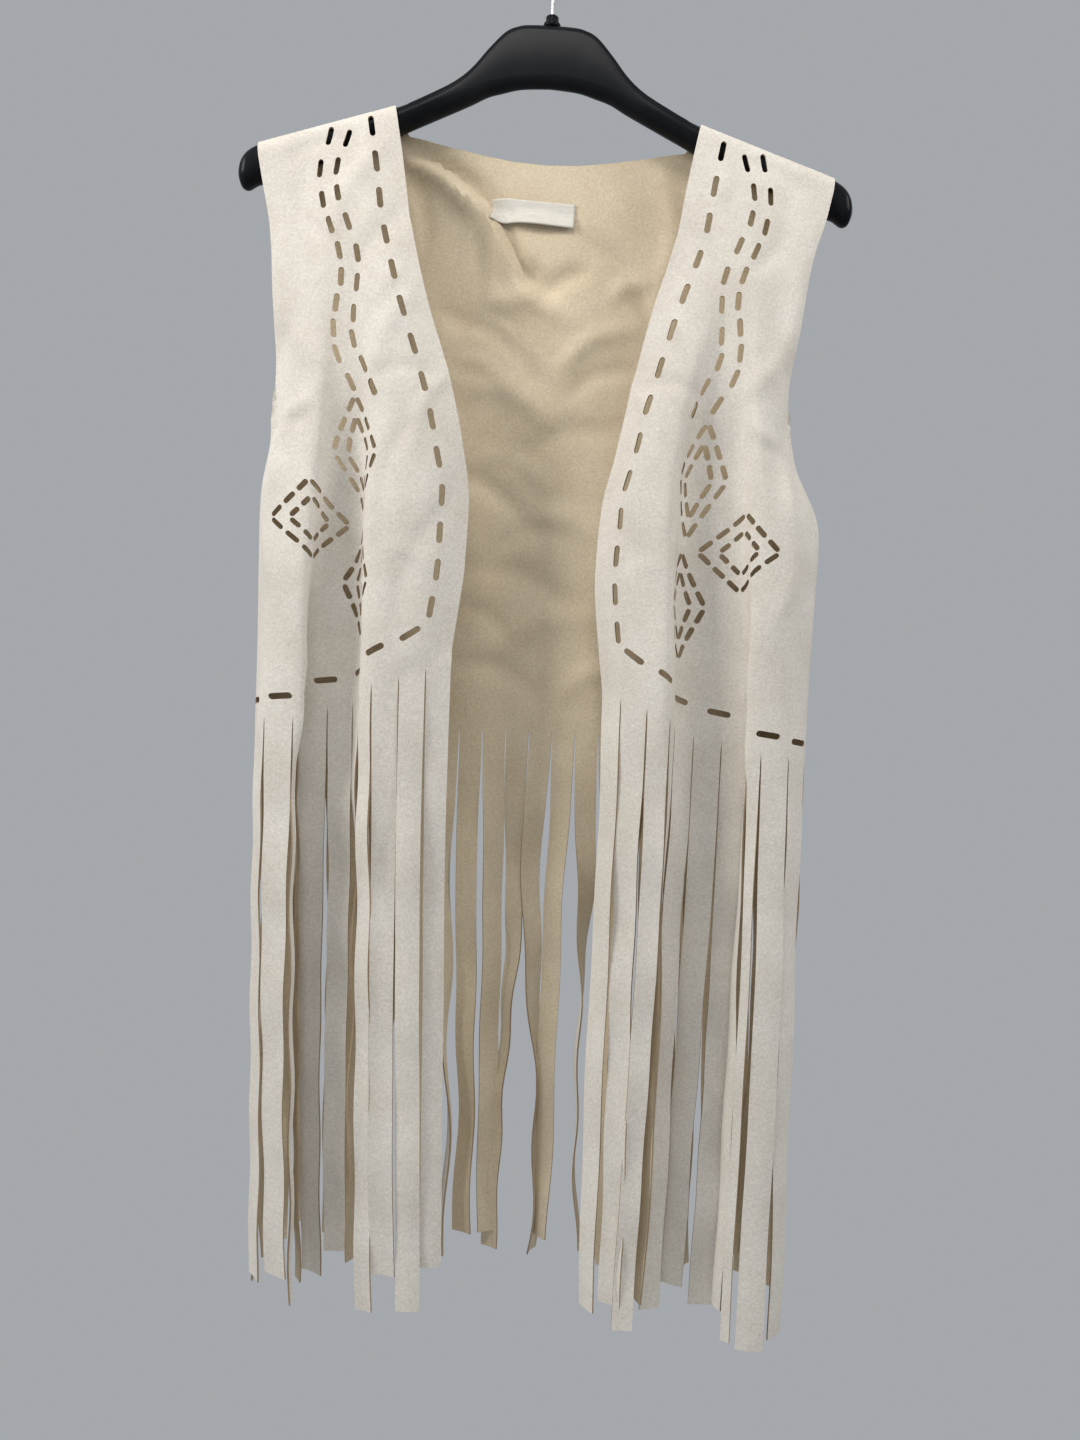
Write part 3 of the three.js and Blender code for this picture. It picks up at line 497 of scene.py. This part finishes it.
# A place on one strip: a across from 0 to 1, d down from its root from 0 to 1
def stripPoint(top, a, d, strip, wave):
    long, drift, sway, twist = strip
    h0, h1 = top[0], top[-1]
    k = a * (len(top) - 1)
    i = min(int(k), len(top) - 2)
    on = top[i] + (top[i + 1] - top[i]) * (k - i)
    chord = h0 + (h1 - h0) * a
    across = h1 - h0
    flat = math.atan2(across[1], across[0])
    half = math.hypot(across[0], across[1]) / 2
    down = d * long
    turn = flat + math.radians(twist) * d * d + math.radians(wave["turned"]) * smoothStep(d * 1.5)
    turn += math.radians(wave["turn"]) * math.sin(d * wave["turns"] + wave["start"]) * smoothStep(d * 2.2)
    gap = 0.42 * smoothStep(down / 8) + wave["slim"] * smoothStep(d * 3)
    s = (2 * a - 1) * (half - gap)
    mid = (h0 + h1) / 2
    swing = wave["swing"] * math.sin(d * wave["turns"] * 0.7 + wave["start"] * 2) * smoothStep(d * 3)
    x = mid[0] + drift * d ** 1.3 + swing + wave["lean"] * d ** 1.5 + s * math.cos(turn)
    y = mid[1] + sway * d * d + math.sin(d * math.pi * 1.6) * sway * 0.6 + s * math.sin(turn)
    ripple = wave["high"] * math.sin(down / wave["long"] * 2 * math.pi + wave["start"])
    ripple = ripple * smoothStep(d * 5) + wave["curl"] * (1 - (2 * a - 1) ** 2) * smoothStep(d * 3)
    fade = math.exp(-(down / 26) ** 2)
    bulge = (on - chord)[:2] * fade
    x += bulge[0] - ripple * math.sin(turn)
    y += bulge[1] + ripple * math.cos(turn)
    slope = (on[2] - mid[2]) * (1 - smoothStep(d * 1.6))
    return np.array((x, y, mid[2] + slope + down))


# One cloth from the shoulder to the strips' tips, all cut from the same piece
def panelWithFringe(name, cloth, outline, holes, inner, creases, hemLine, strips,
                    mirror, step, seed):
    v, tri = flatMesh(outline, holes, inner, step, seed)
    base = np.array([cloth.at(x, y) for x, y in v])
    side = np.array([cloth.at(x + 1.5, y) for x, y in v]) - np.array([cloth.at(x - 1.5, y) for x, y in v])
    down = np.array([cloth.at(x, y + 1.5) for x, y in v]) - np.array([cloth.at(x, y - 1.5) for x, y in v])
    n = np.cross(side, down)
    n /= np.linalg.norm(n, axis=1)[:, None] + 1e-9
    n *= -np.sign(n[:, 1:2].sum()) if name != "backPanel" else np.sign(n[:, 1:2].sum())
    high = np.array([creaseHeight(creases, x, y) for x, y in v])
    atHem = np.array([hemLine(x) for x in v[:, 0]])
    high *= np.array([smoothStep((h - y) / 22) for h, y in zip(atHem, v[:, 1])])
    top = np.array([min(1, (y - outlineTop(name, x)) / 16) for x, y in v])
    high *= np.clip(top, 0, 1)
    spots = base + n * high[:, None]
    points = [placed(p, mirror) for p in spots]
    faces = [tuple(f) for f in tri]
    across, rows = 6, 40
    rng = random.Random(seed + 5)
    for k, strip in enumerate(strips["list"]):
        tops = [cloth.at(q, hemLine(q)) for q in strips["cuts"][k]]
        wave = {"high": rng.uniform(*strips["ripple"]), "long": rng.uniform(70, 150),
                "start": rng.uniform(0, 6.3),
                "turn": rng.uniform(2, 6) * strips["calm"][k], "turns": rng.uniform(5, 9),
                "curl": rng.uniform(-1.4, 1.4), "slim": rng.uniform(*strips["slim"])}
        wave["turned"] = strips["turned"].get(k, 0)
        wave["swing"] = rng.uniform(0.4, 1.6) * strips["calm"][k]
        wave["lean"] = rng.uniform(-2.6, 2.6) * strips["calm"][k]
        first = len(points)
        for r in range(rows + 1):
            d = (r / rows) ** 1.15
            for c in range(across + 1):
                points.append(placed(stripPoint(tops, c / across, d, strip, wave), mirror))
        for r in range(rows):
            for c in range(across):
                a = first + r * (across + 1) + c
                faces.append((a, a + 1, a + across + 2, a + across + 1))
    mesh = bpy.data.meshes.new(name)
    mesh.from_pydata(points, [], faces)
    bm = bmesh.new()
    bm.from_mesh(mesh)
    bmesh.ops.remove_doubles(bm, verts=bm.verts, dist=2e-5)
    bmesh.ops.recalc_face_normals(bm, faces=bm.faces)
    score = sum(f.normal.y * f.calc_area() for f in bm.faces)
    if (score > 0) != (name == "backPanel"):
        bmesh.ops.reverse_faces(bm, faces=bm.faces)
    for f in bm.faces:
        f.smooth = True
    bm.to_mesh(mesh)
    bm.free()
    obj = bpy.data.objects.new(name, mesh)
    bpy.context.collection.objects.link(obj)
    thick = obj.modifiers.new("cloth", "SOLIDIFY")
    thick.thickness = vest["cloth"] / 1000
    thick.offset = 0
    thick.material_offset = 1
    # the cut rims and slot walls take the third material, whose dark brown colour is painted shade
    thick.material_offset_rim = 2
    crisp = obj.modifiers.new("cut edges", "EDGE_SPLIT")
    crisp.split_angle = math.radians(55)
    return obj


def outlineTop(name, x):
    if name != "backPanel":
        return shoulderDepth(x)
    far = abs(x)
    return between(backNeck, far)[0] if far < 107 else shoulderDepth(far)


# Materials
def newMaterial(name):
    m = bpy.data.materials.new(name)
    m.use_nodes = True
    nodes, links = m.node_tree.nodes, m.node_tree.links
    return m, nodes, links, nodes["Principled BSDF"]


def noiseNode(nodes, links, where, scale, detail=3.0, stretch=None):
    n = nodes.new("ShaderNodeTexNoise")
    n.inputs["Scale"].default_value = scale
    n.inputs["Detail"].default_value = detail
    n.inputs["Roughness"].default_value = 0.6
    if stretch:
        m = nodes.new("ShaderNodeMapping")
        m.inputs["Scale"].default_value = stretch
        links.new(where, m.inputs["Vector"])
        where = m.outputs["Vector"]
    links.new(where, n.inputs["Vector"])
    return n.outputs["Fac"]


def rampNode(nodes, links, fac, stops):
    r = nodes.new("ShaderNodeValToRGB")
    while len(r.color_ramp.elements) < len(stops):
        r.color_ramp.elements.new(0.5)
    for e, (at, colour) in zip(r.color_ramp.elements, stops):
        e.position = at
        e.color = (*colour, 1)
    links.new(fac, r.inputs["Fac"])
    return r.outputs["Color"]


def mixNode(nodes, links, kind, fac, a, b):
    m = nodes.new("ShaderNodeMix")
    m.data_type = "RGBA"
    m.blend_type = kind
    m.inputs[0].default_value = fac
    links.new(a, m.inputs[6])
    links.new(b, m.inputs[7])
    return m.outputs[2]


def bumpNode(nodes, links, height, strength, distance, before=None):
    b = nodes.new("ShaderNodeBump")
    b.inputs["Strength"].default_value = strength
    b.inputs["Distance"].default_value = distance
    links.new(height, b.inputs["Height"])
    if before:
        links.new(before, b.inputs["Normal"])
    return b.outputs["Normal"]


def clothMaterial(name, colours, roughness, sheen, bump):
    m, nodes, links, shader = newMaterial(name)
    where = nodes.new("ShaderNodeTexCoord").outputs["Object"]
    cloud = rampNode(nodes, links, noiseNode(nodes, links, where, 26, 4),
                     [(0.3, colours[0]), (0.7, colours[1])])
    nap = rampNode(nodes, links, noiseNode(nodes, links, where, 620, 3),
                   [(0.3, (0.80, 0.795, 0.785)), (0.7, (1, 1, 1))])
    weave = rampNode(nodes, links, noiseNode(nodes, links, where, 420, 2, (1, 1, 3.4)),
                     [(0.35, (0.93, 0.93, 0.93)), (0.65, (1, 1, 1))])
    tint = mixNode(nodes, links, "MULTIPLY", 1.0, cloud, nap)
    tint = mixNode(nodes, links, "MULTIPLY", 1.0, tint, weave)
    links.new(tint, shader.inputs["Base Color"])
    shader.inputs["Roughness"].default_value = roughness
    shader.inputs["Sheen Weight"].default_value = sheen
    shader.inputs["Sheen Roughness"].default_value = 0.5
    shader.inputs["Specular IOR Level"].default_value = 0.2
    a = bumpNode(nodes, links, noiseNode(nodes, links, where, 300, 4), bump, 0.0006)
    b = bumpNode(nodes, links, noiseNode(nodes, links, where, 60, 3), bump * 0.5, 0.0012, a)
    links.new(b, shader.inputs["Normal"])
    return m


suedeOuter = clothMaterial("suedeOuter", ((0.70, 0.648, 0.572), (0.79, 0.748, 0.68)), 0.95, 0.2, 0.5)
suedeInner = clothMaterial("suedeInner", ((0.66, 0.548, 0.385), (0.74, 0.635, 0.465)), 0.8, 0.12, 0.2)
# Cut edges and slot walls: the dark brown is painted shade, standing for the shadow seen inside the slots,
# not the cut edge's own lighter colour
suedeEdgePaintedShade = clothMaterial("suedeEdgePaintedShade", ((0.30, 0.215, 0.13), (0.42, 0.32, 0.21)), 0.95, 0.0, 0.2)


def dress(obj, *materials):
    for m in materials:
        obj.data.materials.append(m)


# Fronts
def frontHem(side, q):
    return between(hemDrop[side], q - hemStart(side))[0]


def hemStart(side):
    return between(edgeCut, hemDrop[side][0][1])[0]


def frontOutline(side, sideCut, stripCuts, bend):
    loop = bend["top"] + bend["tip"]
    depths, cuts = zip(*sorted(sideCut))
    for depth in np.arange(bend["top"][-1][1] + 8, frontHem(side, stripCuts[-1]) - 3, 6.0):
        loop.append((float(np.interp(depth, depths, cuts)), float(depth)))
    for q in stripCuts[::-1]:
        loop.append((q, frontHem(side, q)))
    for depth in np.arange(frontHem(side, stripCuts[0]) - 6, 72, -6.0):
        loop.append((between(edgeCut, depth)[0], float(depth)))
    return loop + bend["neck"][::-1]


# strips that hang turned, in degrees
turnedFront = {"right": {1: 16, 3: -24, 4: 30, 6: 36, 7: -20, 9: 14},
               "left": {1: -14, 3: 28, 5: -30, 6: 22, 7: 34, 9: -12}}
calmFront = [1, 1, 1, .8, .8, .7, .5, .4, .7, 1, .6, .3]  # how much each strip moves
pieces = {}
for name, side, strips, seed in (("frontRight", "right", rightStrips, 3),
                                 ("frontLeft", "left", leftStrips, 9)):
    front = frontRows(side)
    cuts = cutsOf(front)
    sideCut = [(row[-1][2], c[-1]) for row, c in zip(front, cuts)]
    start, whole = hemStart(side), cuts[-1][-1] - hemStart(side)
    count = frontCut["strips"]
    stripCuts = [[start + whole * (k + c / 6) / count for c in range(7)] for k in range(count)]
    everyCut = [q for k, row in enumerate(stripCuts) for q in (row if k == 0 else row[1:])]
    bend = bendOver(front, cuts)
    pieces[name] = panelWithFringe(
        name, Cloth(front, cuts), frontOutline(side, sideCut, everyCut, bend),
        [slotLoop(x) for x in frontSlots(side)], bend["inner"], frontCreases, lambda q: frontHem(side, q),
        {"list": strips, "cuts": stripCuts, "calm": calmFront,
         "turned": turnedFront[side], "slim": (0.3, 1.2), "ripple": (0.5, 1.6)},
        side == "right", 4.2, seed)
    dress(pieces[name], suedeOuter, suedeInner, suedeEdgePaintedShade)
print("fronts made:", {k: len(p.data.polygons) for k, p in pieces.items()})

# Back
rows, cuts = backRows()
backCloth = Cloth(rows, cuts, 8, 5)


def backHem(q):
    share = abs(q) / backCut["half"]
    return backCut["hem"] + backCut["hemRise"] * share ** 2


def backLength():
    across = np.linspace(-backCut["half"], backCut["half"], 2 * backCut["half"] + 1)
    line = np.array([backCloth.at(q, backHem(q)) for q in across])
    return across, lengthsOf(line[:, :2])


def backOutline(hemCuts, bend):
    half = bend["neck"][::-1] + bend["top"] + bend["tip"]
    loop = [(-x, depth) for x, depth in half[::-1]]
    for x in np.linspace(-101, 101, 35):
        loop.append((float(x), between(backNeck, abs(x))[0] + 0.02))
    loop += half
    sideTop, sideEnd = bend["top"][-1][1] + 8, backCut["hem"] - 1
    for depth in np.arange(sideTop, sideEnd, 7.0):
        loop.append((backCut["half"], float(depth)))
    for q in hemCuts[::-1]:
        loop.append((q, backHem(q)))
    for depth in np.arange(sideEnd, sideTop, -7.0):
        loop.append((-backCut["half"], float(depth)))
    return loop


outs, far = backLength()
count = backCut["strips"]
backCuts = [[float(np.interp(far[-1] * (k + c / 6) / count, far, outs)) for c in range(7)]
            for k in range(count)]
everyBack = [q for k, row in enumerate(backCuts) for q in (row if k == 0 else row[1:])]
calm = [4 * (1 - (abs(i - (count - 1) / 2) / (count / 2)) ** 3) for i in range(count)]
turnedBack = {4: 38, 6: -46, 7: 30, 8: 74, 9: -34, 10: 28, 11: -40, 12: 76, 13: -36, 14: 98,
              15: -30, 16: 34, 17: -66, 18: 26, 19: 44}  # degrees
bend = bendOver(rows, cuts, backCut["neckColumn"])
bothBends = bend["inner"] + [(-x, depth) for x, depth in bend["inner"]]
pieces["backPanel"] = panelWithFringe(
    "backPanel", backCloth, backOutline(everyBack, bend), [], bothBends, backCreases, backHem,
    {"list": backStrips(), "cuts": backCuts, "calm": calm, "turned": turnedBack,
     "slim": (0.6, 2.0), "ripple": (0.9, 2.2)},
    False, 5.5, 21)
dress(pieces["backPanel"], suedeOuter, suedeInner, suedeEdgePaintedShade)
print("back made:", len(pieces["backPanel"].data.polygons))


# Neck label: a bare woven band, its lower edge standing off
label = {"half": 30.8, "high": 18, "middle": -8.8, "depth": 126, "tilt": 0.033, "cloth": 0.5}


def neckLabel():
    half, tilt = label["half"], label["tilt"]
    points, faces = [], []
    columns, lines = 36, 14
    for r in range(lines + 1):
        down = label["high"] * (r / lines - 0.5)
        for c in range(columns + 1):
            s = 2 * c / columns - 1
            out = label["middle"] + s * half - down * tilt
            depth = label["depth"] + down + s * half * tilt
            on = backCloth.at(out, depth)
            lift = 1.5 + 2.0 * smoothStep((down + 4) / 13) + (1 - s * s) * smoothStep(down / 9) * 1.4
            lift += 0.35 * math.sin(s * 5 + 1) * smoothStep(down / 9 + 0.5)
            points.append(placed((out, on[1] - lift + creaseHeight(backCreases, out, depth), depth)))
    for r in range(lines):
        for c in range(columns):
            a = r * (columns + 1) + c
            faces.append((a, a + columns + 1, a + columns + 2, a + 1))
    mesh = bpy.data.meshes.new("neckLabel")
    mesh.from_pydata(points, [], faces)
    for p in mesh.polygons:
        p.use_smooth = True
    obj = bpy.data.objects.new("neckLabel", mesh)
    bpy.context.collection.objects.link(obj)
    thick = obj.modifiers.new("cloth", "SOLIDIFY")
    thick.thickness = label["cloth"] / 1000
    thick.offset = 0
    return obj


pieces["neckLabel"] = neckLabel()
m, nodes, links, shader = newMaterial("labelSatin")
where = nodes.new("ShaderNodeTexCoord").outputs["Object"]
links.new(rampNode(nodes, links, noiseNode(nodes, links, where, 500, 2, (0.3, 1, 3)),
                   [(0.3, (0.55, 0.52, 0.46)), (0.7, (0.66, 0.63, 0.57))]), shader.inputs["Base Color"])
shader.inputs["Roughness"].default_value = 0.45
links.new(bumpNode(nodes, links, noiseNode(nodes, links, where, 900, 2, (0.3, 1, 3)), 0.3, 0.0003),
          shader.inputs["Normal"])
dress(pieces["neckLabel"], m)

# Hanger: half width, depth of its top, height and half thickness
hanger = [(0, 0, 44, 7), (13, 0.3, 44.5, 7), (23, 1.6, 44.5, 7), (33, 7, 42, 7.3), (44, 19, 33.5, 7.8),
          (56, 34, 25, 8.3), (68, 44.5, 20.5, 8.8), (84, 54, 18.8, 9.6), (98, 61.6, 18, 9.9)]
hanger += [(x, shoulderDepth(x) + 1.2, 19 + 8 * (x - 111) / 92, 10.3) for x in (111, 135, 159, 183, 203)]
hanger += [(x, shoulderDepth(x) + 1 + drop, high, thick) for x, drop, high, thick in
           ((209, .3, 27, 10.6), (215, 2.5, 26.5, 10.6), (219, 6.5, 20, 8.5), (221, 11.5, 10, 5))]


def hangerBody():
    ends = len(hanger) - 1
    ts = np.concatenate([np.linspace(0, 13, 105), np.linspace(13.1, ends, 44)])
    half = through(hanger, ts)
    full = np.concatenate([half[:0:-1] * (-1, 1, 1, 1), half])
    around = 40
    points, faces = [], []
    for out, top, high, thick in full:
        for k in range(around):
            a = 2 * math.pi * (k + 0.5) / around
            round_ = min(thick, high / 2)
            middle = top + round_ if math.cos(a) > 0 else top + high - round_
            fromTop = abs(math.degrees(math.atan2(math.sin(a), math.cos(a))))
            bead = 0.9 * math.exp(-((fromTop - 52) / 9) ** 2)
            bead *= smoothStep((104 - abs(out)) / 6) * smoothStep((abs(out) - 20) / 12)
            r = thick + bead
            points.append(placed((out, r * math.sin(a), middle - (round_ + bead * 0.6) * math.cos(a))))
    for i in range(len(full) - 1):
        for k in range(around):
            a, b = i * around + k, i * around + (k + 1) % around
            faces.append((a, b, b + around, a + around))
    faces.append(tuple(range(around)))
    faces.append(tuple((len(full) - 1) * around + k for k in range(around))[::-1])
    ring, base = 28, len(points)
    profile = [(1.95, 1.5), (6, 1.5), (6.3, 0), (6.2, -1.5), (4.8, -3.2), (4.6, -4), (4.6, -6.6), (4.2, -7),
               (1.95, -7)]
    for r, h in profile:
        for k in range(ring):
            a = 2 * math.pi * k / ring
            points.append(placed((r * math.cos(a), r * math.sin(a), h)))
    for j in range(len(profile)):
        for k in range(ring):
            a, b = base + j * ring + k, base + j * ring + (k + 1) % ring
            c, d = (base + (j + 1) % len(profile) * ring + (k + 1) % ring,
                    base + (j + 1) % len(profile) * ring + k)
            faces.append((a, b, c, d))
    return meshPiece("hangerBody", points, faces)


def meshPiece(name, points, faces):
    mesh = bpy.data.meshes.new(name)
    mesh.from_pydata(points, [], faces)
    bm = bmesh.new()
    bm.from_mesh(mesh)
    bmesh.ops.recalc_face_normals(bm, faces=bm.faces)
    for f in bm.faces:
        f.smooth = True
    bm.to_mesh(mesh)
    bm.free()
    obj = bpy.data.objects.new(name, mesh)
    bpy.context.collection.objects.link(obj)
    return obj


pieces["hangerBody"] = hangerBody()
m, nodes, links, shader = newMaterial("hangerPlastic")
where = nodes.new("ShaderNodeTexCoord").outputs["Object"]
links.new(rampNode(nodes, links, noiseNode(nodes, links, where, 30, 3),
                   [(0.3, (0.006, 0.007, 0.009)), (0.7, (0.011, 0.012, 0.014))]),
          shader.inputs["Base Color"])
shader.inputs["Roughness"].default_value = 0.3
shader.inputs["Specular IOR Level"].default_value = 0.07
links.new(bumpNode(nodes, links, noiseNode(nodes, links, where, 240, 3), 0.06, 0.0004),
          shader.inputs["Normal"])
dress(pieces["hangerBody"], m)


# Hook
hook = {"radius": 20.0, "wire": 1.6, "firstAngle": -50.0, "lastAngle": 205, "stepAngle": 25.5}


def hangerHook():
    r, wire = hook["radius"], hook["wire"]
    mid = wire - r
    path = [(0, -67.5), (0, mid - r - 6), (4, mid - r + 2.5)]
    a = hook["firstAngle"]
    while a <= hook["lastAngle"]:
        path.append((r * math.cos(math.radians(a)), mid + r * math.sin(math.radians(a))))
        a += hook["stepAngle"]
    line = through(path, np.linspace(0, len(path) - 1, 110))
    points, faces = [], []
    around = 18
    for i, (x, z) in enumerate(line):
        nxt, last = line[min(i + 1, len(line) - 1)], line[max(i - 1, 0)]
        d = (nxt - last) / np.linalg.norm(nxt - last)
        for k in range(around):
            b = 2 * math.pi * k / around
            points.append(((x - d[1] * wire * math.cos(b)) / 1000, wire * math.sin(b) / 1000,
                           (z + d[0] * wire * math.cos(b)) / 1000))
    for i in range(len(line) - 1):
        for k in range(around):
            p, q = i * around + k, i * around + (k + 1) % around
            faces.append((p, q, q + around, p + around))
    faces.append(tuple(range(around)))
    faces.append(tuple((len(line) - 1) * around + k for k in range(around))[::-1])
    return meshPiece("hangerHook", points, faces)


pieces["hangerHook"] = hangerHook()
m, nodes, links, shader = newMaterial("hookWire")
where = nodes.new("ShaderNodeTexCoord").outputs["Object"]
links.new(rampNode(nodes, links, noiseNode(nodes, links, where, 90, 3),
                   [(0.3, (0.50, 0.50, 0.51)), (0.7, (0.62, 0.62, 0.63))]), shader.inputs["Base Color"])
shader.inputs["Metallic"].default_value = 1.0
shader.inputs["Roughness"].default_value = 0.26
dress(pieces["hangerHook"], m)

# What each piece stands for
stands = {
    "frontRight": (("front_right", "fringe_right"), "suede"),
    "frontLeft": (("front_left", "fringe_left"), "suede"),
    "backPanel": (("back", "fringe_back"), "suede"),
    "neckLabel": (("neck_label",), "label"),
    "hangerBody": (("hanger_body",), "hanger_plastic"),
    "hangerHook": (("hanger_hook",), "hook_wire"),
}
for name, (nodesFor, slotName) in stands.items():
    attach(pieces[name], "root")
    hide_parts(*nodesFor)

# Floor, light and camera
stage = {"floorRadius": 0.55, "floorPlace": (0, -0.1, -1.5), "cameraPlace": (0.0114, -0.781, -0.5687),
         "cameraRoll": 2.3, "lens": 27}
bpy.ops.mesh.primitive_circle_add(vertices=96, radius=stage["floorRadius"], fill_type="NGON",
                                  location=stage["floorPlace"])
floor = bpy.context.object
floor.name = "floor"
m, nodes, links, shader = newMaterial("floorPale")
where = nodes.new("ShaderNodeTexCoord").outputs["Object"]
links.new(rampNode(nodes, links, noiseNode(nodes, links, where, 3, 2),
                   [(0.3, (0.60, 0.63, 0.66)), (0.7, (0.63, 0.66, 0.69))]), shader.inputs["Base Color"])
shader.inputs["Roughness"].default_value = 0.9
dress(floor, m)

world = bpy.data.worlds.new("pale")
bpy.context.scene.world = world
world.use_nodes = True
world.node_tree.nodes["Background"].inputs["Color"].default_value = (0.75, 0.78, 0.82, 1)
world.node_tree.nodes["Background"].inputs["Strength"].default_value = 0.5


def softLight(name, place, target, size, power, colour):
    data = bpy.data.lights.new(name, "AREA")
    data.shape = "RECTANGLE"
    data.size, data.size_y = size
    data.energy = power
    data.color = colour
    obj = bpy.data.objects.new(name, data)
    bpy.context.collection.objects.link(obj)
    obj.location = place
    obj.rotation_euler = (Vector(target) - Vector(place)).to_track_quat("-Z", "Y").to_euler()


softLight("fromLeft", (-1.35, -0.75, 0.35), (0, 0, -0.45), (0.5, 0.7), 20, (1.0, 0.975, 0.94))
softLight("fromRight", (1.35, -0.7, 0.45), (0, 0, -0.45), (0.5, 0.7), 11, (1.0, 0.97, 0.93))
softLight("above", (-0.1, -0.95, 0.75), (0, 0, -0.5), (0.5, 0.35), 8, (1.0, 0.97, 0.93))

camera = bpy.data.objects.new("photoView", bpy.data.cameras.new("photoView"))
bpy.context.collection.objects.link(camera)
roll = math.radians(stage["cameraRoll"])
right = Vector((math.cos(roll), 0, math.sin(roll)))
up = Vector((-math.sin(roll), 0, math.cos(roll)))
turned = Matrix((right, up, Vector((0, -1, 0)))).transposed().to_4x4()
camera.matrix_world = Matrix.Translation(stage["cameraPlace"]) @ turned
camera.data.lens = stage["lens"]
camera.data.sensor_width = 36
camera.data.clip_start = 0.01
bpy.context.scene.camera = camera
bpy.context.scene.view_settings.view_transform = "Standard"
print("stage set")
